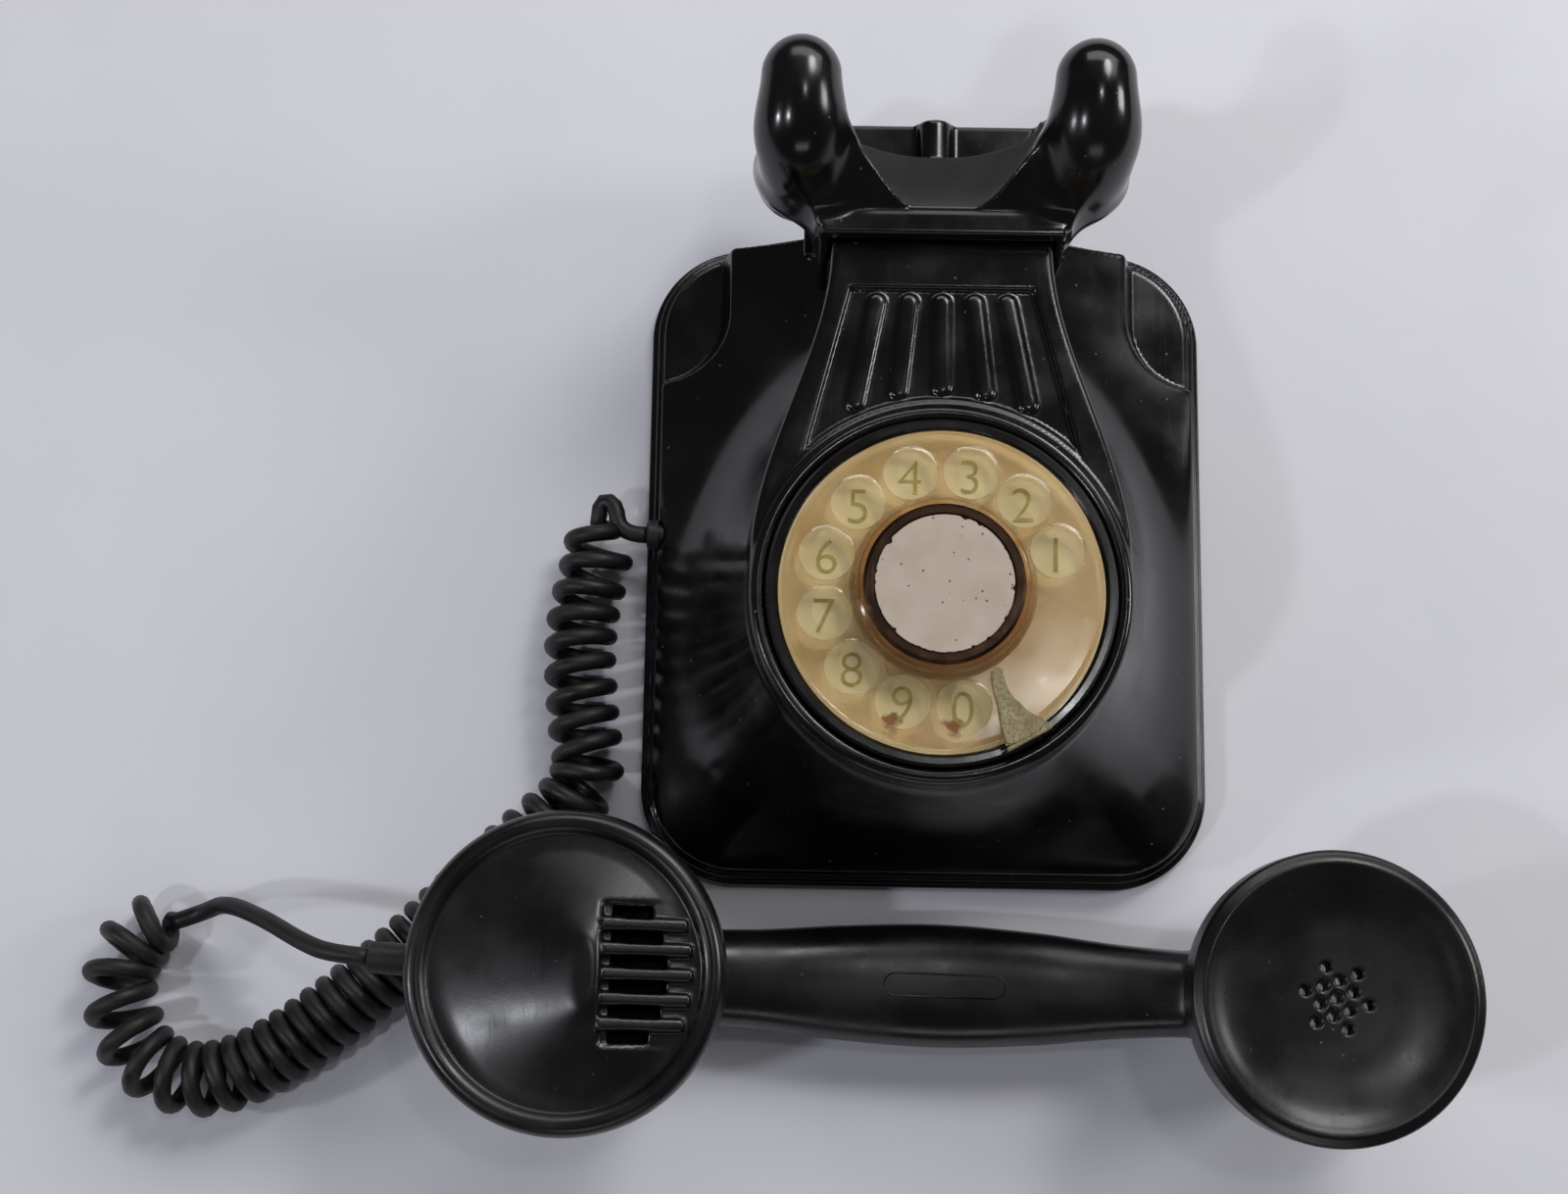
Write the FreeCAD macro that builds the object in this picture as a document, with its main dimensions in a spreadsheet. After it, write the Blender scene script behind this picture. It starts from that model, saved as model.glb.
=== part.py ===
import FreeCAD, Part
import Sketcher
import math
import os

# A wall telephone of moulded black phenolic, lying on its back with the handset and its curly cord beside it.
# The origin is the middle of the wall face of the steel back plate. +Z points out of the wall, +Y is the
# telephone's top, where the fork is, and +X is its right side. All sizes are millimetres.

Vector = FreeCAD.Vector
doc = FreeCAD.newDocument("WallTelephone")
sheet = doc.addObject("Spreadsheet::Sheet", "Sizes")

SIZES = [
    # Base and housing
    ("base_width", 146, "across the flange"),
    ("base_height", 170, "up the wall"),
    ("base_corner", 25, "corner radius of the flange"),
    ("flange_inset", 1.7, "each of the two steps of the flange"),
    ("flange_foot", 4.5, "height of the first step"),
    ("flange_top", 7.5, "height of the second step"),
    ("side_height", 13, "where the flanks start to lean in"),
    ("wall", 3, "wall of the housing"),
    ("scoop_floor", 9.5, "height of the ledge in the scooped corners"),
    ("scoop_radius", 17.5, "radius of a scoop at its floor"),
    ("scoop_slope", 5.5, "how much wider a scoop is at its mouth"),
    ("scoop_mouth", 26, "height where the scoop has that width"),
    ("scoop_x", "=base_width / 2 - 1", "scoop centre, sideways"),
    ("scoop_y", "=base_height / 2 - 21", "scoop centre, up the wall"),
    ("dial_drop", 20, "dial centre below the base centre"),
    ("rim_radius", "=case_radius + 6.8", "outside of the rim round the dial"),
    ("rim_height", 71.5, "top of that rim"),
    ("front_height", "=rim_height - 1.5", "front of the lyre panel"),
    ("foot_at_dial", "=front_height - 8", "how high the flanks reach beside the dial"),
    ("foot_at_top", 30, "how high they reach at the top edge"),
    ("neck_half", 26.5, "half the width of the neck"),
    ("neck_top", 66, "end of the neck, up the wall"),
    ("field_depth", 1.2, "depth of the recessed field with the ribs"),
    ("field_top", 53.5, "upper edge of the field"),
    ("field_top_half", 21.8, "half its width there"),
    ("field_bottom", 14, "lower corners of the field"),
    ("field_bottom_half", 32, "half its width there"),
    ("rib_width", 4.6, "width of a rib"),
    ("rib_height", 1.1, "how far a rib stands up"),
    # Back plate and screws
    ("plate_gap", 0.2, "gap between the plate and the housing round it"),
    ("plate_inset", 3.7, "edge of the plate inside the flange"),
    ("plate_thickness", 1.6, "steel sheet"),
    ("wall_hole_radius", 2.4, "holes for the wall screws"),
    ("wall_hole_x", 96, "between the wall screws, across"),
    ("wall_hole_y", 112, "between the wall screws, up the wall"),
    ("cover_screw_radius", 1.5, "screws that hold the housing"),
    ("cover_screw_x", 59, "their place, sideways"),
    ("cover_screw_y", 26, "their place, up and down"),
    ("cover_screw_end", 10, "how far they reach in"),
    ("boss_radius", 4, "screw bosses of the housing"),
    ("shaft_gap", 0.05, "running clearance of a shaft in its bore"),
    ("piece_gap", 0.3, "clearance between pieces that move past each other"),
    # Dial
    ("case_radius", 37.9, "cup of the dial case"),
    ("case_lip", "=rim_radius - 3.8", "lip of the dial case"),
    ("case_floor", "=rim_height - 16.5", "back of the cup"),
    ("case_wall", 1.5, "wall of the cup"),
    ("seat_height", "=rim_height - 3", "where the lip seats in the housing"),
    ("plate_seat", "=seat_height + 1.5", "where the number plate seats in the case"),
    ("number_plate_radius", "=case_radius + 0.1", "number plate"),
    ("number_plate_thickness", 1.2, "enamelled sheet"),
    ("wheel_radius", "=case_radius - 0.7", "finger wheel"),
    ("wheel_bottom", "=plate_seat + 3.2", "its underside"),
    ("wheel_thickness", 3.2, "its thickness"),
    ("wheel_bevel", 1.2, "bevel at its edge"),
    ("finger_hole_radius", 6.45, "finger holes"),
    ("finger_circle", 27.9, "radius of the circle that they lie on"),
    ("first_hole", 18.7, "direction of the hole of the digit one"),
    ("hole_step", 29.04, "angle from one hole to the next"),
    ("hub_radius", 21.6, "foot of the wheel's raised hub"),
    ("hub_top_radius", 19.6, "top of the hub"),
    ("hub_height", 4.6, "how far the hub stands up"),
    ("card_radius", 16.3, "off-white disc in the hub"),
    ("card_thickness", 0.8, "card"),
    ("card_rise", 0.5, "card above the top of the hub"),
    ("shaft_radius", 4, "dial shaft"),
    ("frame_height", "=case_floor - 23", "underside of the dial's rear frame plate"),
    ("frame_thickness", 1.6, "frame plate"),
    ("frame_radius", 34, "frame plate"),
    ("pillar_radius", 2.5, "pillars between case and frame"),
    ("pillar_circle", 31, "radius of their circle"),
    ("gear_module", 0.8, "module of the main gear pair"),
    ("main_teeth", 60, "teeth of the main gear"),
    ("pinion_teeth", 12, "teeth of its pinion"),
    ("gear_bottom", "=case_floor - 5", "underside of the main gear"),
    ("gear_thickness", 1.6, "main gear"),
    ("worm_wheel_radius", 6, "worm wheel on the idler"),
    ("worm_radius", 3, "worm on the governor spindle"),
    ("governor_axis", "=frame_height + 10", "height of the governor spindle"),
    ("idler_direction", 215, "direction of the idler from the dial centre"),
    ("cam_radius", 13, "impulse cam"),
    ("cam_bottom", "=gear_bottom - 2.8", "underside of the impulse cam"),
    ("stop_tip", 22, "inner end of the finger stop, from the dial centre"),
    ("stop_direction", 303, "direction of the finger stop"),
    ("stop_thickness", 1.4, "brass of the finger stop"),
    # Fork
    ("fork_half", 29.3, "half the width of the fork's sleeve"),
    ("fork_bottom", 66.6, "lower edge of its front"),
    ("fork_band", 4.2, "height of the flat band on its front"),
    ("fork_front", "=front_height + 6", "front of the band"),
    ("fork_gap", 0.8, "clearance between sleeve and neck"),
    ("fork_travel", 4, "how far the fork goes down under the handset"),
    ("fork_rear", 36, "back of the fork's rear wall"),
    ("fork_rear_thickness", 4, "rear wall"),
    ("fork_rear_top", 107, "top of the rear wall"),
    ("horn_x", 35, "middle of a horn, sideways"),
    ("horn_radius", 9.7, "half the width of a horn"),
    ("horn_tip", 105.6, "tip of a horn"),
    ("ear_tip", 110, "tip of a rear ear"),
    ("rod_radius", 2.4, "guide rods of the fork"),
    ("rod_x", 14, "their place, sideways"),
    ("rod_z", 54, "their height above the wall"),
    ("yoke_y", 38, "underside of the bar that joins the rods"),
    ("yoke_thickness", 3, "that bar"),
    ("web_y", 20.5, "upper face of the switch bracket's web"),
    ("web_thickness", 1.5, "switch bracket"),
    ("lever_axis_y", 32, "pivot of the hook lever"),
    ("lever_axis_z", 31, "its height"),
    ("lever_pin_radius", 1.2, "pin of the hook lever"),
    # Ringer
    ("gong_radius", 23, "gongs"),
    ("gong_x", 30.2, "gong centre, sideways"),
    ("gong_y", 48, "gong centre, below the base centre"),
    ("gong_mouth", 8, "height of the gongs' mouths"),
    ("gong_depth", 11, "depth of a gong"),
    ("gong_wall", 1.2, "wall of a gong"),
    ("coil_radius", 7.5, "ringer coils"),
    ("coil_length", 22, "ringer coils"),
    ("coil_x", 11, "ringer coil centre, sideways"),
    ("coil_z", 12.5, "ringer coil centre, height"),
    ("armature_y", 16.5, "armature pivot, below the base centre"),
    # Handset
    ("handset_x", 3, "middle of the handset"),
    ("handset_y", -109.7, "middle of the handset"),
    ("handset_turn", -1, "how far it is turned, in degrees"),
    ("cup_distance", 177, "between the cap centres"),
    ("mouth_radius", 37.1, "mouth cap"),
    ("ear_radius", 33.7, "ear cap"),
    ("cap_face", 64, "height of the rims of both caps"),
    ("cap_height", 12, "height of the caps' skirts"),
    ("grip_width", 30.5, "grip in the middle"),
    ("grip_thickness", 21, "grip in the middle"),
    ("cup_wall", 2.6, "wall of the cups"),
    ("bead_radius", 31.4, "inner bead of the mouth cap"),
    ("comb_step", 8.9, "comb's step face from the cap centre"),
    ("comb_half", 16.3, "half the width of the comb"),
    ("comb_rise", 5.2, "ridge of the cone above the rim"),
    ("slot_width", 2.2, "slots of the comb"),
    ("slot_pitch", 5.45, "between two slots"),
    ("sound_hole_radius", 1.3, "holes of the ear cap"),
    # Cord
    ("cord_radius", 2.2, "round rubber cord"),
    ("coil_outer", 9.5, "outside radius of the curly cord"),
    ("cord_exit_y", 4.7, "where the cord leaves the housing"),
    ("cord_exit_z", 11.6, "its height there"),
]

for row, (alias, number, note) in enumerate(SIZES, start=1):
    sheet.set(f"A{row}", alias)
    sheet.set(f"B{row}", str(number))
    sheet.setAlias(f"B{row}", alias)
    sheet.set(f"C{row}", note)
doc.recompute()

NODES = []


def number(text):
    """The value of an expression on the sheet, such as Sizes.wall * 2."""
    return float(sheet.evalExpression(text))


def size(alias):
    return float(getattr(sheet, alias))


def keep(piece, label):
    """Labels a finished sub-part, which names its file."""
    piece.Label = label
    NODES.append(piece)
    return piece


def plane(body, role):
    """One of a body's own origin planes."""
    return next(feature for feature in body.Origin.OriginFeatures if feature.Role == role)


def new_sketch(body, role, name):
    sketch = body.newObject("Sketcher::SketchObject", name)
    sketch.AttachmentSupport = [(plane(body, role), "")]
    sketch.MapMode = "FlatFace"
    return sketch


def pin_down(sketch, edge, point, x, y):
    """Ties a point of a sketch to two expressions on the sheet."""
    across = sketch.addConstraint(Sketcher.Constraint("DistanceX", edge, point, number(x)))
    sketch.setExpression(f"Constraints[{across}]", x)
    upwards = sketch.addConstraint(Sketcher.Constraint("DistanceY", edge, point, number(y)))
    sketch.setExpression(f"Constraints[{upwards}]", y)


def outline(sketch, corners):
    """A closed outline of straight runs through corners given as pairs of expressions."""
    points = [Vector(number(x), number(y), 0) for x, y in corners]
    edges = []
    for start, end in zip(points, points[1:] + points[:1]):
        edges.append(sketch.addGeometry(Part.LineSegment(start, end), False))
    for edge, following in zip(edges, edges[1:] + edges[:1]):
        sketch.addConstraint(Sketcher.Constraint("Coincident", edge, 2, following, 1))
    for edge, (x, y) in zip(edges, corners):
        pin_down(sketch, edge, 1, x, y)


def circle(sketch, x, y, radius):
    """A circle whose centre and radius are expressions."""
    centre = Vector(number(x), number(y), 0)
    edge = sketch.addGeometry(Part.Circle(centre, Vector(0, 0, 1), number(radius)), False)
    pin_down(sketch, edge, 3, x, y)
    bound = sketch.addConstraint(Sketcher.Constraint("Radius", edge, number(radius)))
    sketch.setExpression(f"Constraints[{bound}]", radius)


def move(piece, x="0", y="0", z="0", rotation=None):
    """Places a piece by expressions, after an optional turn given as an axis and degrees."""
    if rotation is not None:
        piece.Placement = FreeCAD.Placement(Vector(), FreeCAD.Rotation(*rotation))
    for axis, text in (("x", x), ("y", y), ("z", z)):
        piece.setExpression(f"Placement.Base.{axis}", text)
    return piece


def turned(label, profile, x="0", y="0", z="0", rotation=None, kept=True):
    """A body of revolution about its own Z axis, from corners of (radius, height)."""
    body = doc.addObject("PartDesign::Body", label)
    sketch = new_sketch(body, "XZ_Plane", f"{label}_profile")
    outline(sketch, profile)
    turn = body.newObject("PartDesign::Revolution", f"{label}_turn")
    turn.Profile = sketch
    turn.ReferenceAxis = (sketch, ["V_Axis"])
    turn.Angle = 360
    move(body, x, y, z, rotation)
    return keep(body, label) if kept else body


def slab(label, corners, bottom, thickness, holes=(), corner_radius=None, kept=True):
    """A flat body: an outline in the XY plane, padded up from bottom, with round holes in it."""
    body = doc.addObject("PartDesign::Body", label)
    sketch = new_sketch(body, "XY_Plane", f"{label}_outline")
    if isinstance(corners, str):
        circle(sketch, "0", "0", corners)
    else:
        outline(sketch, corners)
    for x, y, radius in holes:
        circle(sketch, x, y, radius)
    pad = body.newObject("PartDesign::Pad", f"{label}_pad")
    pad.Profile = sketch
    pad.setExpression("Length", thickness)
    if corner_radius is not None:
        doc.recompute()
        upright = []
        for index, edge in enumerate(body.Shape.Edges, start=1):
            if edge.Curve.TypeId == "Part::GeomLine" and abs(edge.tangentAt(0).z) > 0.9:
                upright.append(f"Edge{index}")
        fillet = body.newObject("PartDesign::Fillet", f"{label}_corners")
        fillet.Base = (pad, upright)
        fillet.setExpression("Radius", corner_radius)
    move(body, z=bottom)
    return keep(body, label) if kept else body


def drill(body, holes):
    """Round holes straight through a body, from (x, y, radius) on its own axes."""
    sketch = new_sketch(body, "XY_Plane", f"{body.Label}_holes")
    for x, y, radius in holes:
        circle(sketch, x, y, radius)
    pocket = body.newObject("PartDesign::Pocket", f"{body.Label}_drilled")
    pocket.Profile = sketch
    pocket.Type = "ThroughAll"
    pocket.Midplane = True


def rectangle(half_x, half_y, middle_x="0", middle_y="0"):
    """Four corners round a middle, as expressions."""
    return [
        (f"{middle_x} - ({half_x})", f"{middle_y} - ({half_y})"),
        (f"{middle_x} + ({half_x})", f"{middle_y} - ({half_y})"),
        (f"{middle_x} + ({half_x})", f"{middle_y} + ({half_y})"),
        (f"{middle_x} - ({half_x})", f"{middle_y} + ({half_y})"),
    ]


def cylinder(name, radius, length, x, y, z, rotation=None):
    """A Part cylinder whose sizes and place are expressions."""
    piece = doc.addObject("Part::Cylinder", name)
    piece.setExpression("Radius", radius)
    piece.setExpression("Height", length)
    return move(piece, x, y, z, rotation)


def block(name, x0, x1, y0, y1, z0, z1):
    """A Part box between six expressions."""
    piece = doc.addObject("Part::Box", name)
    piece.setExpression("Length", f"({x1}) - ({x0})")
    piece.setExpression("Width", f"({y1}) - ({y0})")
    piece.setExpression("Height", f"({z1}) - ({z0})")
    return move(piece, x0, y0, z0)


def fused(name, pieces):
    joined = doc.addObject("Part::MultiFuse", name)
    joined.Shapes = pieces
    joined.Refine = True
    return joined


def cut(name, base, tools):
    tool = tools[0] if len(tools) == 1 else fused(f"{name}_tools", tools)
    result = doc.addObject("Part::Cut", name)
    result.Base = base
    result.Tool = tool
    return result


def group(label, pieces):
    """Several separate solids that share a node."""
    together = doc.addObject("Part::Compound", label)
    together.Links = pieces
    return keep(together, label)


def shaped(label, shape, kept=True):
    """A piece whose shape comes from Part's own functions, for free forms."""
    piece = doc.addObject("Part::Feature", label)
    piece.Shape = shape
    return keep(piece, label) if kept else piece


ALONG_X = (Vector(0, 1, 0), 90)
ALONG_Y = (Vector(1, 0, 0), -90)

# Free forms: the outlines of the housing

DIAL_Y = -size("dial_drop")
WALL = size("wall")
LEDGE = 0.3
SINK = 0.5


def smooth_step(share):
    share = min(max(share, 0.0), 1.0)
    return share * share * (3 - 2 * share)


def lyre_half(y, inset=0.0):
    """Half the width of the lyre panel at a height up the wall, from the dial's rim to the neck."""
    start = DIAL_Y + 8
    share = smooth_step((y - start) / (size("neck_top") - 2 - start))
    return size("rim_radius") + (size("neck_half") - size("rim_radius")) * share - inset


def foot_height(y):
    """How high the flanks reach against the lyre panel."""
    share = smooth_step((y - DIAL_Y) / (size("neck_top") - DIAL_Y))
    return size("foot_at_dial") + (size("foot_at_top") - size("foot_at_dial")) * share


def flank_share(height, foot, inset):
    """How far in from the side the flank is at a height: round at the bottom, then steeper and steeper."""
    start = size("side_height") - inset
    rise = max(height - start, 0.0) / (foot - inset - start)
    return rise**0.6 * (1 - math.exp(-rise / 0.1))


def edge_distance(angle, half_x, half_y, corner):
    """From the dial centre to the rounded base outline, in a direction below it."""
    dx = math.cos(angle)
    dy = -math.sin(angle)
    reach = min(half_x / max(abs(dx), 1e-9), half_y / max(abs(dy), 1e-9))
    corner_x = half_x - corner
    corner_y = half_y - corner
    if abs(dx) * reach > corner_x and abs(dy) * reach > corner_y:
        middle = abs(dx) * corner_x + abs(dy) * corner_y
        reach = middle + math.sqrt(middle**2 - corner_x**2 - corner_y**2 + corner**2)
    return reach


def bends(points, first=None, last=None):
    """Edges through points, one smooth curve from each to the next; the end directions can be given."""
    ways = []
    for index in range(len(points)):
        before = points[max(index - 1, 0)]
        after = points[min(index + 1, len(points) - 1)]
        ways.append((after - before).normalize())
    ways[0] = first or ways[0]
    ways[-1] = last or ways[-1]
    edges = []
    for index in range(len(points) - 1):
        start = points[index]
        end = points[index + 1]
        third = (end - start).Length / 3
        curve = Part.BezierCurve()
        curve.setPoles([start, start + ways[index] * third, end - ways[index + 1] * third, end])
        edges.append(curve.toShape())
    return edges


def level_points(height, inset, stations, angles):
    """Points of the flanks' outline at one height: down the right side, round the bottom, up the left side."""
    inside = 2 * size("flange_inset") + LEDGE + inset
    half_x = size("base_width") / 2 - inside
    half_y = size("base_height") / 2 - inside
    corner = size("base_corner") - inside
    ring = size("rim_radius") - inset - SINK
    top = half_y if height <= size("foot_at_top") - inset else size("neck_top") - 10 - inset
    side = []
    for index in range(stations):
        y = top + (DIAL_Y - top) * index / (stations - 1)
        share = flank_share(height, foot_height(y), inset)
        half = half_x - share * (half_x - lyre_half(y, inset + SINK))
        side.append(Vector(max(half, 0.55 * lyre_half(y)), y, height))
    bottom = []
    share = flank_share(height, size("foot_at_dial"), inset)
    for degrees in angles + (90,) + tuple(180 - angle for angle in reversed(angles)):
        angle = math.radians(degrees)
        outer = edge_distance(angle, half_x, half_y + DIAL_Y, corner)
        reach = outer - share * (outer - ring)
        bottom.append(Vector(reach * math.cos(angle), DIAL_Y - reach * math.sin(angle), height))
    return side, bottom, [Vector(-point.x, point.y, height) for point in reversed(side)]


def smooth_level(height):
    """The outside of the flanks at one height, as smooth curves closed by the straight top edge."""
    side, bottom, mirrored = level_points(height, 0.0, 6, (14, 25, 33, 41, 49, 57, 72))
    under = bends([side[-1]] + bottom + [mirrored[0]], Vector(0, -1, 0), Vector(0, 1, 0))
    lid = Part.LineSegment(mirrored[-1], side[0]).toShape()
    return Part.Wire(bends(side) + under + bends(mirrored) + [lid])


def straight_level(height):
    """The hollow inside the flanks at one height, in straight runs."""
    side, bottom, mirrored = level_points(height, WALL, 4, (20, 34, 41, 48, 62))
    points = side + bottom + mirrored
    return Part.makePolygon(points + points[:1])


def bell_shapes():
    """The flared body of the housing up to the dial, in a lower and an upper loft that share a level."""
    start = size("side_height")
    middle = size("foot_at_top")
    top = size("foot_at_dial")
    low = [start - 1, start + 0.5, start + 1.8, start + 4, start + 9, middle]
    high = [middle, middle + 6, middle + 14, middle + 23, top]
    return [Part.makeLoft([smooth_level(height) for height in heights], True, True) for heights in (low, high)]


def hollow_shapes():
    """The hollow under the flared body, a wall's thickness inside it."""
    start = size("side_height") - WALL
    middle = size("foot_at_top") - WALL
    top = size("foot_at_dial") - WALL
    low = [start, start + 3, start + 8, middle]
    high = [middle, middle + 8, (middle + top) / 2 + 3, top]
    return [Part.makeLoft([straight_level(height) for height in heights], True, True) for heights in (low, high)]


def rounded(half_x, half_y, corner, bottom, top):
    """A solid slab with rounded corners, between two heights."""
    points = [(half_x, half_y - corner), (half_x, corner - half_y), (half_x - corner, -half_y)]
    points += [(corner - half_x, -half_y), (-half_x, corner - half_y), (-half_x, half_y - corner)]
    points += [(corner - half_x, half_y), (half_x - corner, half_y)]
    bend = corner * (1 - math.sqrt(0.5))
    middles = [(half_x - bend, bend - half_y), (bend - half_x, bend - half_y)]
    middles += [(bend - half_x, half_y - bend), (half_x - bend, half_y - bend)]
    edges = []
    for index in range(4):
        first, second, third = (points[(2 * index + step) % 8] for step in range(3))
        edges.append(Part.LineSegment(Vector(*first, bottom), Vector(*second, bottom)).toShape())
        arc = Part.Arc(Vector(*second, bottom), Vector(*middles[index], bottom), Vector(*third, bottom))
        edges.append(arc.toShape())
    return Part.Face(Part.Wire(edges)).extrude(Vector(0, 0, top - bottom))


def lyre(inset, bottom, top):
    """The lyre: the neck, its swelling sides and the round below the dial, as one upright solid."""
    ring = size("rim_radius") - inset
    stations = 6
    end = size("neck_top") - inset
    side = []
    for index in range(stations):
        y = end + (DIAL_Y - end) * index / (stations - 1)
        side.append(Vector(lyre_half(y, inset), y, bottom))
    mirrored = [Vector(-point.x, point.y, bottom) for point in reversed(side)]
    down = Vector(0, -1, 0)
    under = Part.Arc(side[-1], Vector(0, DIAL_Y - ring, bottom), mirrored[0]).toShape()
    lid = Part.LineSegment(mirrored[-1], side[0]).toShape()
    wire = Part.Wire(bends(side, down, down) + [under] + bends(mirrored, -down, -down) + [lid])
    return Part.Face(wire).extrude(Vector(0, 0, top - bottom))


def pill(start, end, radius, bottom, height):
    """A bar with round ends lying between two points."""
    along = (end - start).normalize()
    aside = Vector(-along.y, along.x, 0) * radius
    lift = Vector(0, 0, bottom)
    corners = [start + aside + lift, end + aside + lift, end - aside + lift, start - aside + lift]
    edges = [
        Part.LineSegment(corners[0], corners[1]).toShape(),
        Part.Arc(corners[1], end + along * radius + lift, corners[2]).toShape(),
        Part.LineSegment(corners[2], corners[3]).toShape(),
        Part.Arc(corners[3], start - along * radius + lift, corners[0]).toShape(),
    ]
    return Part.Face(Part.Wire(edges)).extrude(Vector(0, 0, height))


def ease_top(shape, width):
    """Eases the edges round the highest face."""
    top = shape.BoundBox.ZMax
    edges = [edge for edge in shape.Edges if edge.BoundBox.ZMin > top - 1e-4]
    return shape.makeChamfer(width, edges)


def scoop(side, grown):
    """The round scoop out of a top corner, open towards the top edge."""
    floor = size("scoop_floor") - grown
    mouth = size("scoop_mouth")
    small = size("scoop_radius") + grown
    wide = small + size("scoop_slope")
    place = Vector(side * size("scoop_x"), size("scoop_y"), floor)
    cone = Part.makeCone(small, wide, mouth - floor, place)
    corners = [(-small, 0), (small, 0), (wide, mouth - floor), (-wide, mouth - floor)]
    wire = Part.makePolygon([place + Vector(x, 0, z) for x, z in corners + corners[:1]])
    return cone.fuse(Part.Face(wire).extrude(Vector(0, size("base_height") / 2, 0)))


def housing_shape():
    """The moulded housing: flange, flared body, lyre with its field and ribs, dial rim, bosses and bores."""
    half_x = size("base_width") / 2
    half_y = size("base_height") / 2
    corner = size("base_corner")
    inset = size("flange_inset")
    steps = [(0, 0, size("flange_foot")), (inset, 0, size("flange_top")), (2 * inset, 0, size("side_height"))]
    solid = None
    for step, bottom, top in steps:
        slab_shape = rounded(half_x - step, half_y - step, corner - step, bottom, top)
        solid = slab_shape if solid is None else solid.fuse(slab_shape)
    panel = ease_top(lyre(0.0, size("side_height"), size("front_height")), 0.8)
    solid = solid.fuse(bell_shapes() + [panel])
    solid = solid.cut([scoop(side, 0.0) for side in (-1, 1)])
    start = size("side_height") - WALL
    skirt = rounded(half_x - 2 * inset - WALL, half_y - 2 * inset - WALL, corner - 2 * inset - WALL, -1, start)
    hollow = skirt.fuse(hollow_shapes() + [lyre(WALL, start, size("front_height") - WALL)])
    hollow = hollow.cut([scoop(side, WALL - 0.5) for side in (-1, 1)])
    bosses = []
    for x in (-1, 1):
        for y in (-1, 1):
            place = Vector(x * size("cover_screw_x"), y * size("cover_screw_y"), size("plate_thickness"))
            bosses.append(Part.makeCylinder(size("boss_radius"), size("foot_at_top"), place).common(solid))
    shell = solid.cut(hollow).fuse(bosses)
    rim = size("rim_radius")
    seat = size("seat_height")
    lip = size("case_lip") + size("piece_gap")
    ring = [(lip, seat), (rim, seat), (rim, size("rim_height") - 1.2), (rim - 1.2, size("rim_height"))]
    ring += [(lip + 0.8, size("rim_height")), (lip, size("rim_height") - 0.8)]
    profile = Part.makePolygon([Vector(radius, 0, height) for radius, height in ring + ring[:1]])
    rim_ring = Part.Face(profile).revolve(Vector(), Vector(0, 0, 1), 360)
    rim_ring.translate(Vector(0, DIAL_Y, 0))
    field = field_shape().cut([rib for rib in rib_shapes()])
    centre = Vector(0, DIAL_Y, 0)
    bore = Part.makeCylinder(size("case_radius") + 0.2, size("front_height"), centre + Vector(0, 0, 40))
    bore = bore.fuse(Part.makeCylinder(lip, 10, centre + Vector(0, 0, seat)))
    plate_edge = size("plate_inset")
    recess = rounded(half_x - plate_edge, half_y - plate_edge, corner - plate_edge, -1, size("plate_thickness"))
    tools = [bore, field, recess]
    for x in (-1, 1):
        rod = Vector(x * size("rod_x"), 0, size("rod_z"))
        tools.append(Part.makeCylinder(size("rod_radius") + size("shaft_gap"), half_y, rod, Vector(0, 1, 0)))
        for y in (-1, 1):
            place = Vector(x * size("cover_screw_x"), y * size("cover_screw_y"), -1)
            length = size("cover_screw_end") + 1.5
            tools.append(Part.makeCylinder(size("cover_screw_radius") + size("shaft_gap"), length, place))
    exit_point = Vector(-half_x, size("cord_exit_y"), size("cord_exit_z"))
    tools.append(Part.makeCylinder(2.95, 12, exit_point, Vector(1, 0, 0)))
    return shell.fuse(rim_ring).cut(tools)


def field_shape():
    """The recessed field of the lyre panel: straight sides and a lower edge that follows the dial."""
    depth = size("field_depth")
    z = size("front_height") - depth
    top = size("field_top")
    bottom = size("field_bottom")
    top_half = size("field_top_half")
    bottom_half = size("field_bottom_half")
    radius = math.hypot(bottom_half, bottom - DIAL_Y)
    right = Vector(bottom_half, bottom, z)
    left = Vector(-bottom_half, bottom, z)
    edges = [
        Part.LineSegment(Vector(-top_half, top, z), Vector(top_half, top, z)).toShape(),
        Part.LineSegment(Vector(top_half, top, z), right).toShape(),
        Part.Arc(right, Vector(0, DIAL_Y + radius, z), left).toShape(),
        Part.LineSegment(left, Vector(-top_half, top, z)).toShape(),
    ]
    return Part.Face(Part.Wire(edges)).extrude(Vector(0, 0, depth + 1))


def rib_shapes():
    """Five pill-shaped ribs that fan out down the field."""
    radius = size("rib_width") / 2
    depth = size("field_depth")
    z = size("front_height") - depth
    made = []
    for index in range(-2, 3):
        start = Vector(7.8 * index, size("field_top") - radius - 1, 0)
        end = Vector(10.2 * index, size("field_top") - 24 - index * index, 0)
        made.append(ease_top(pill(start, end, radius, z, size("rib_height")), 0.8))
    return made


def direction(angle):
    return Vector(math.cos(math.radians(angle)), math.sin(math.radians(angle)), 0)


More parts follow.
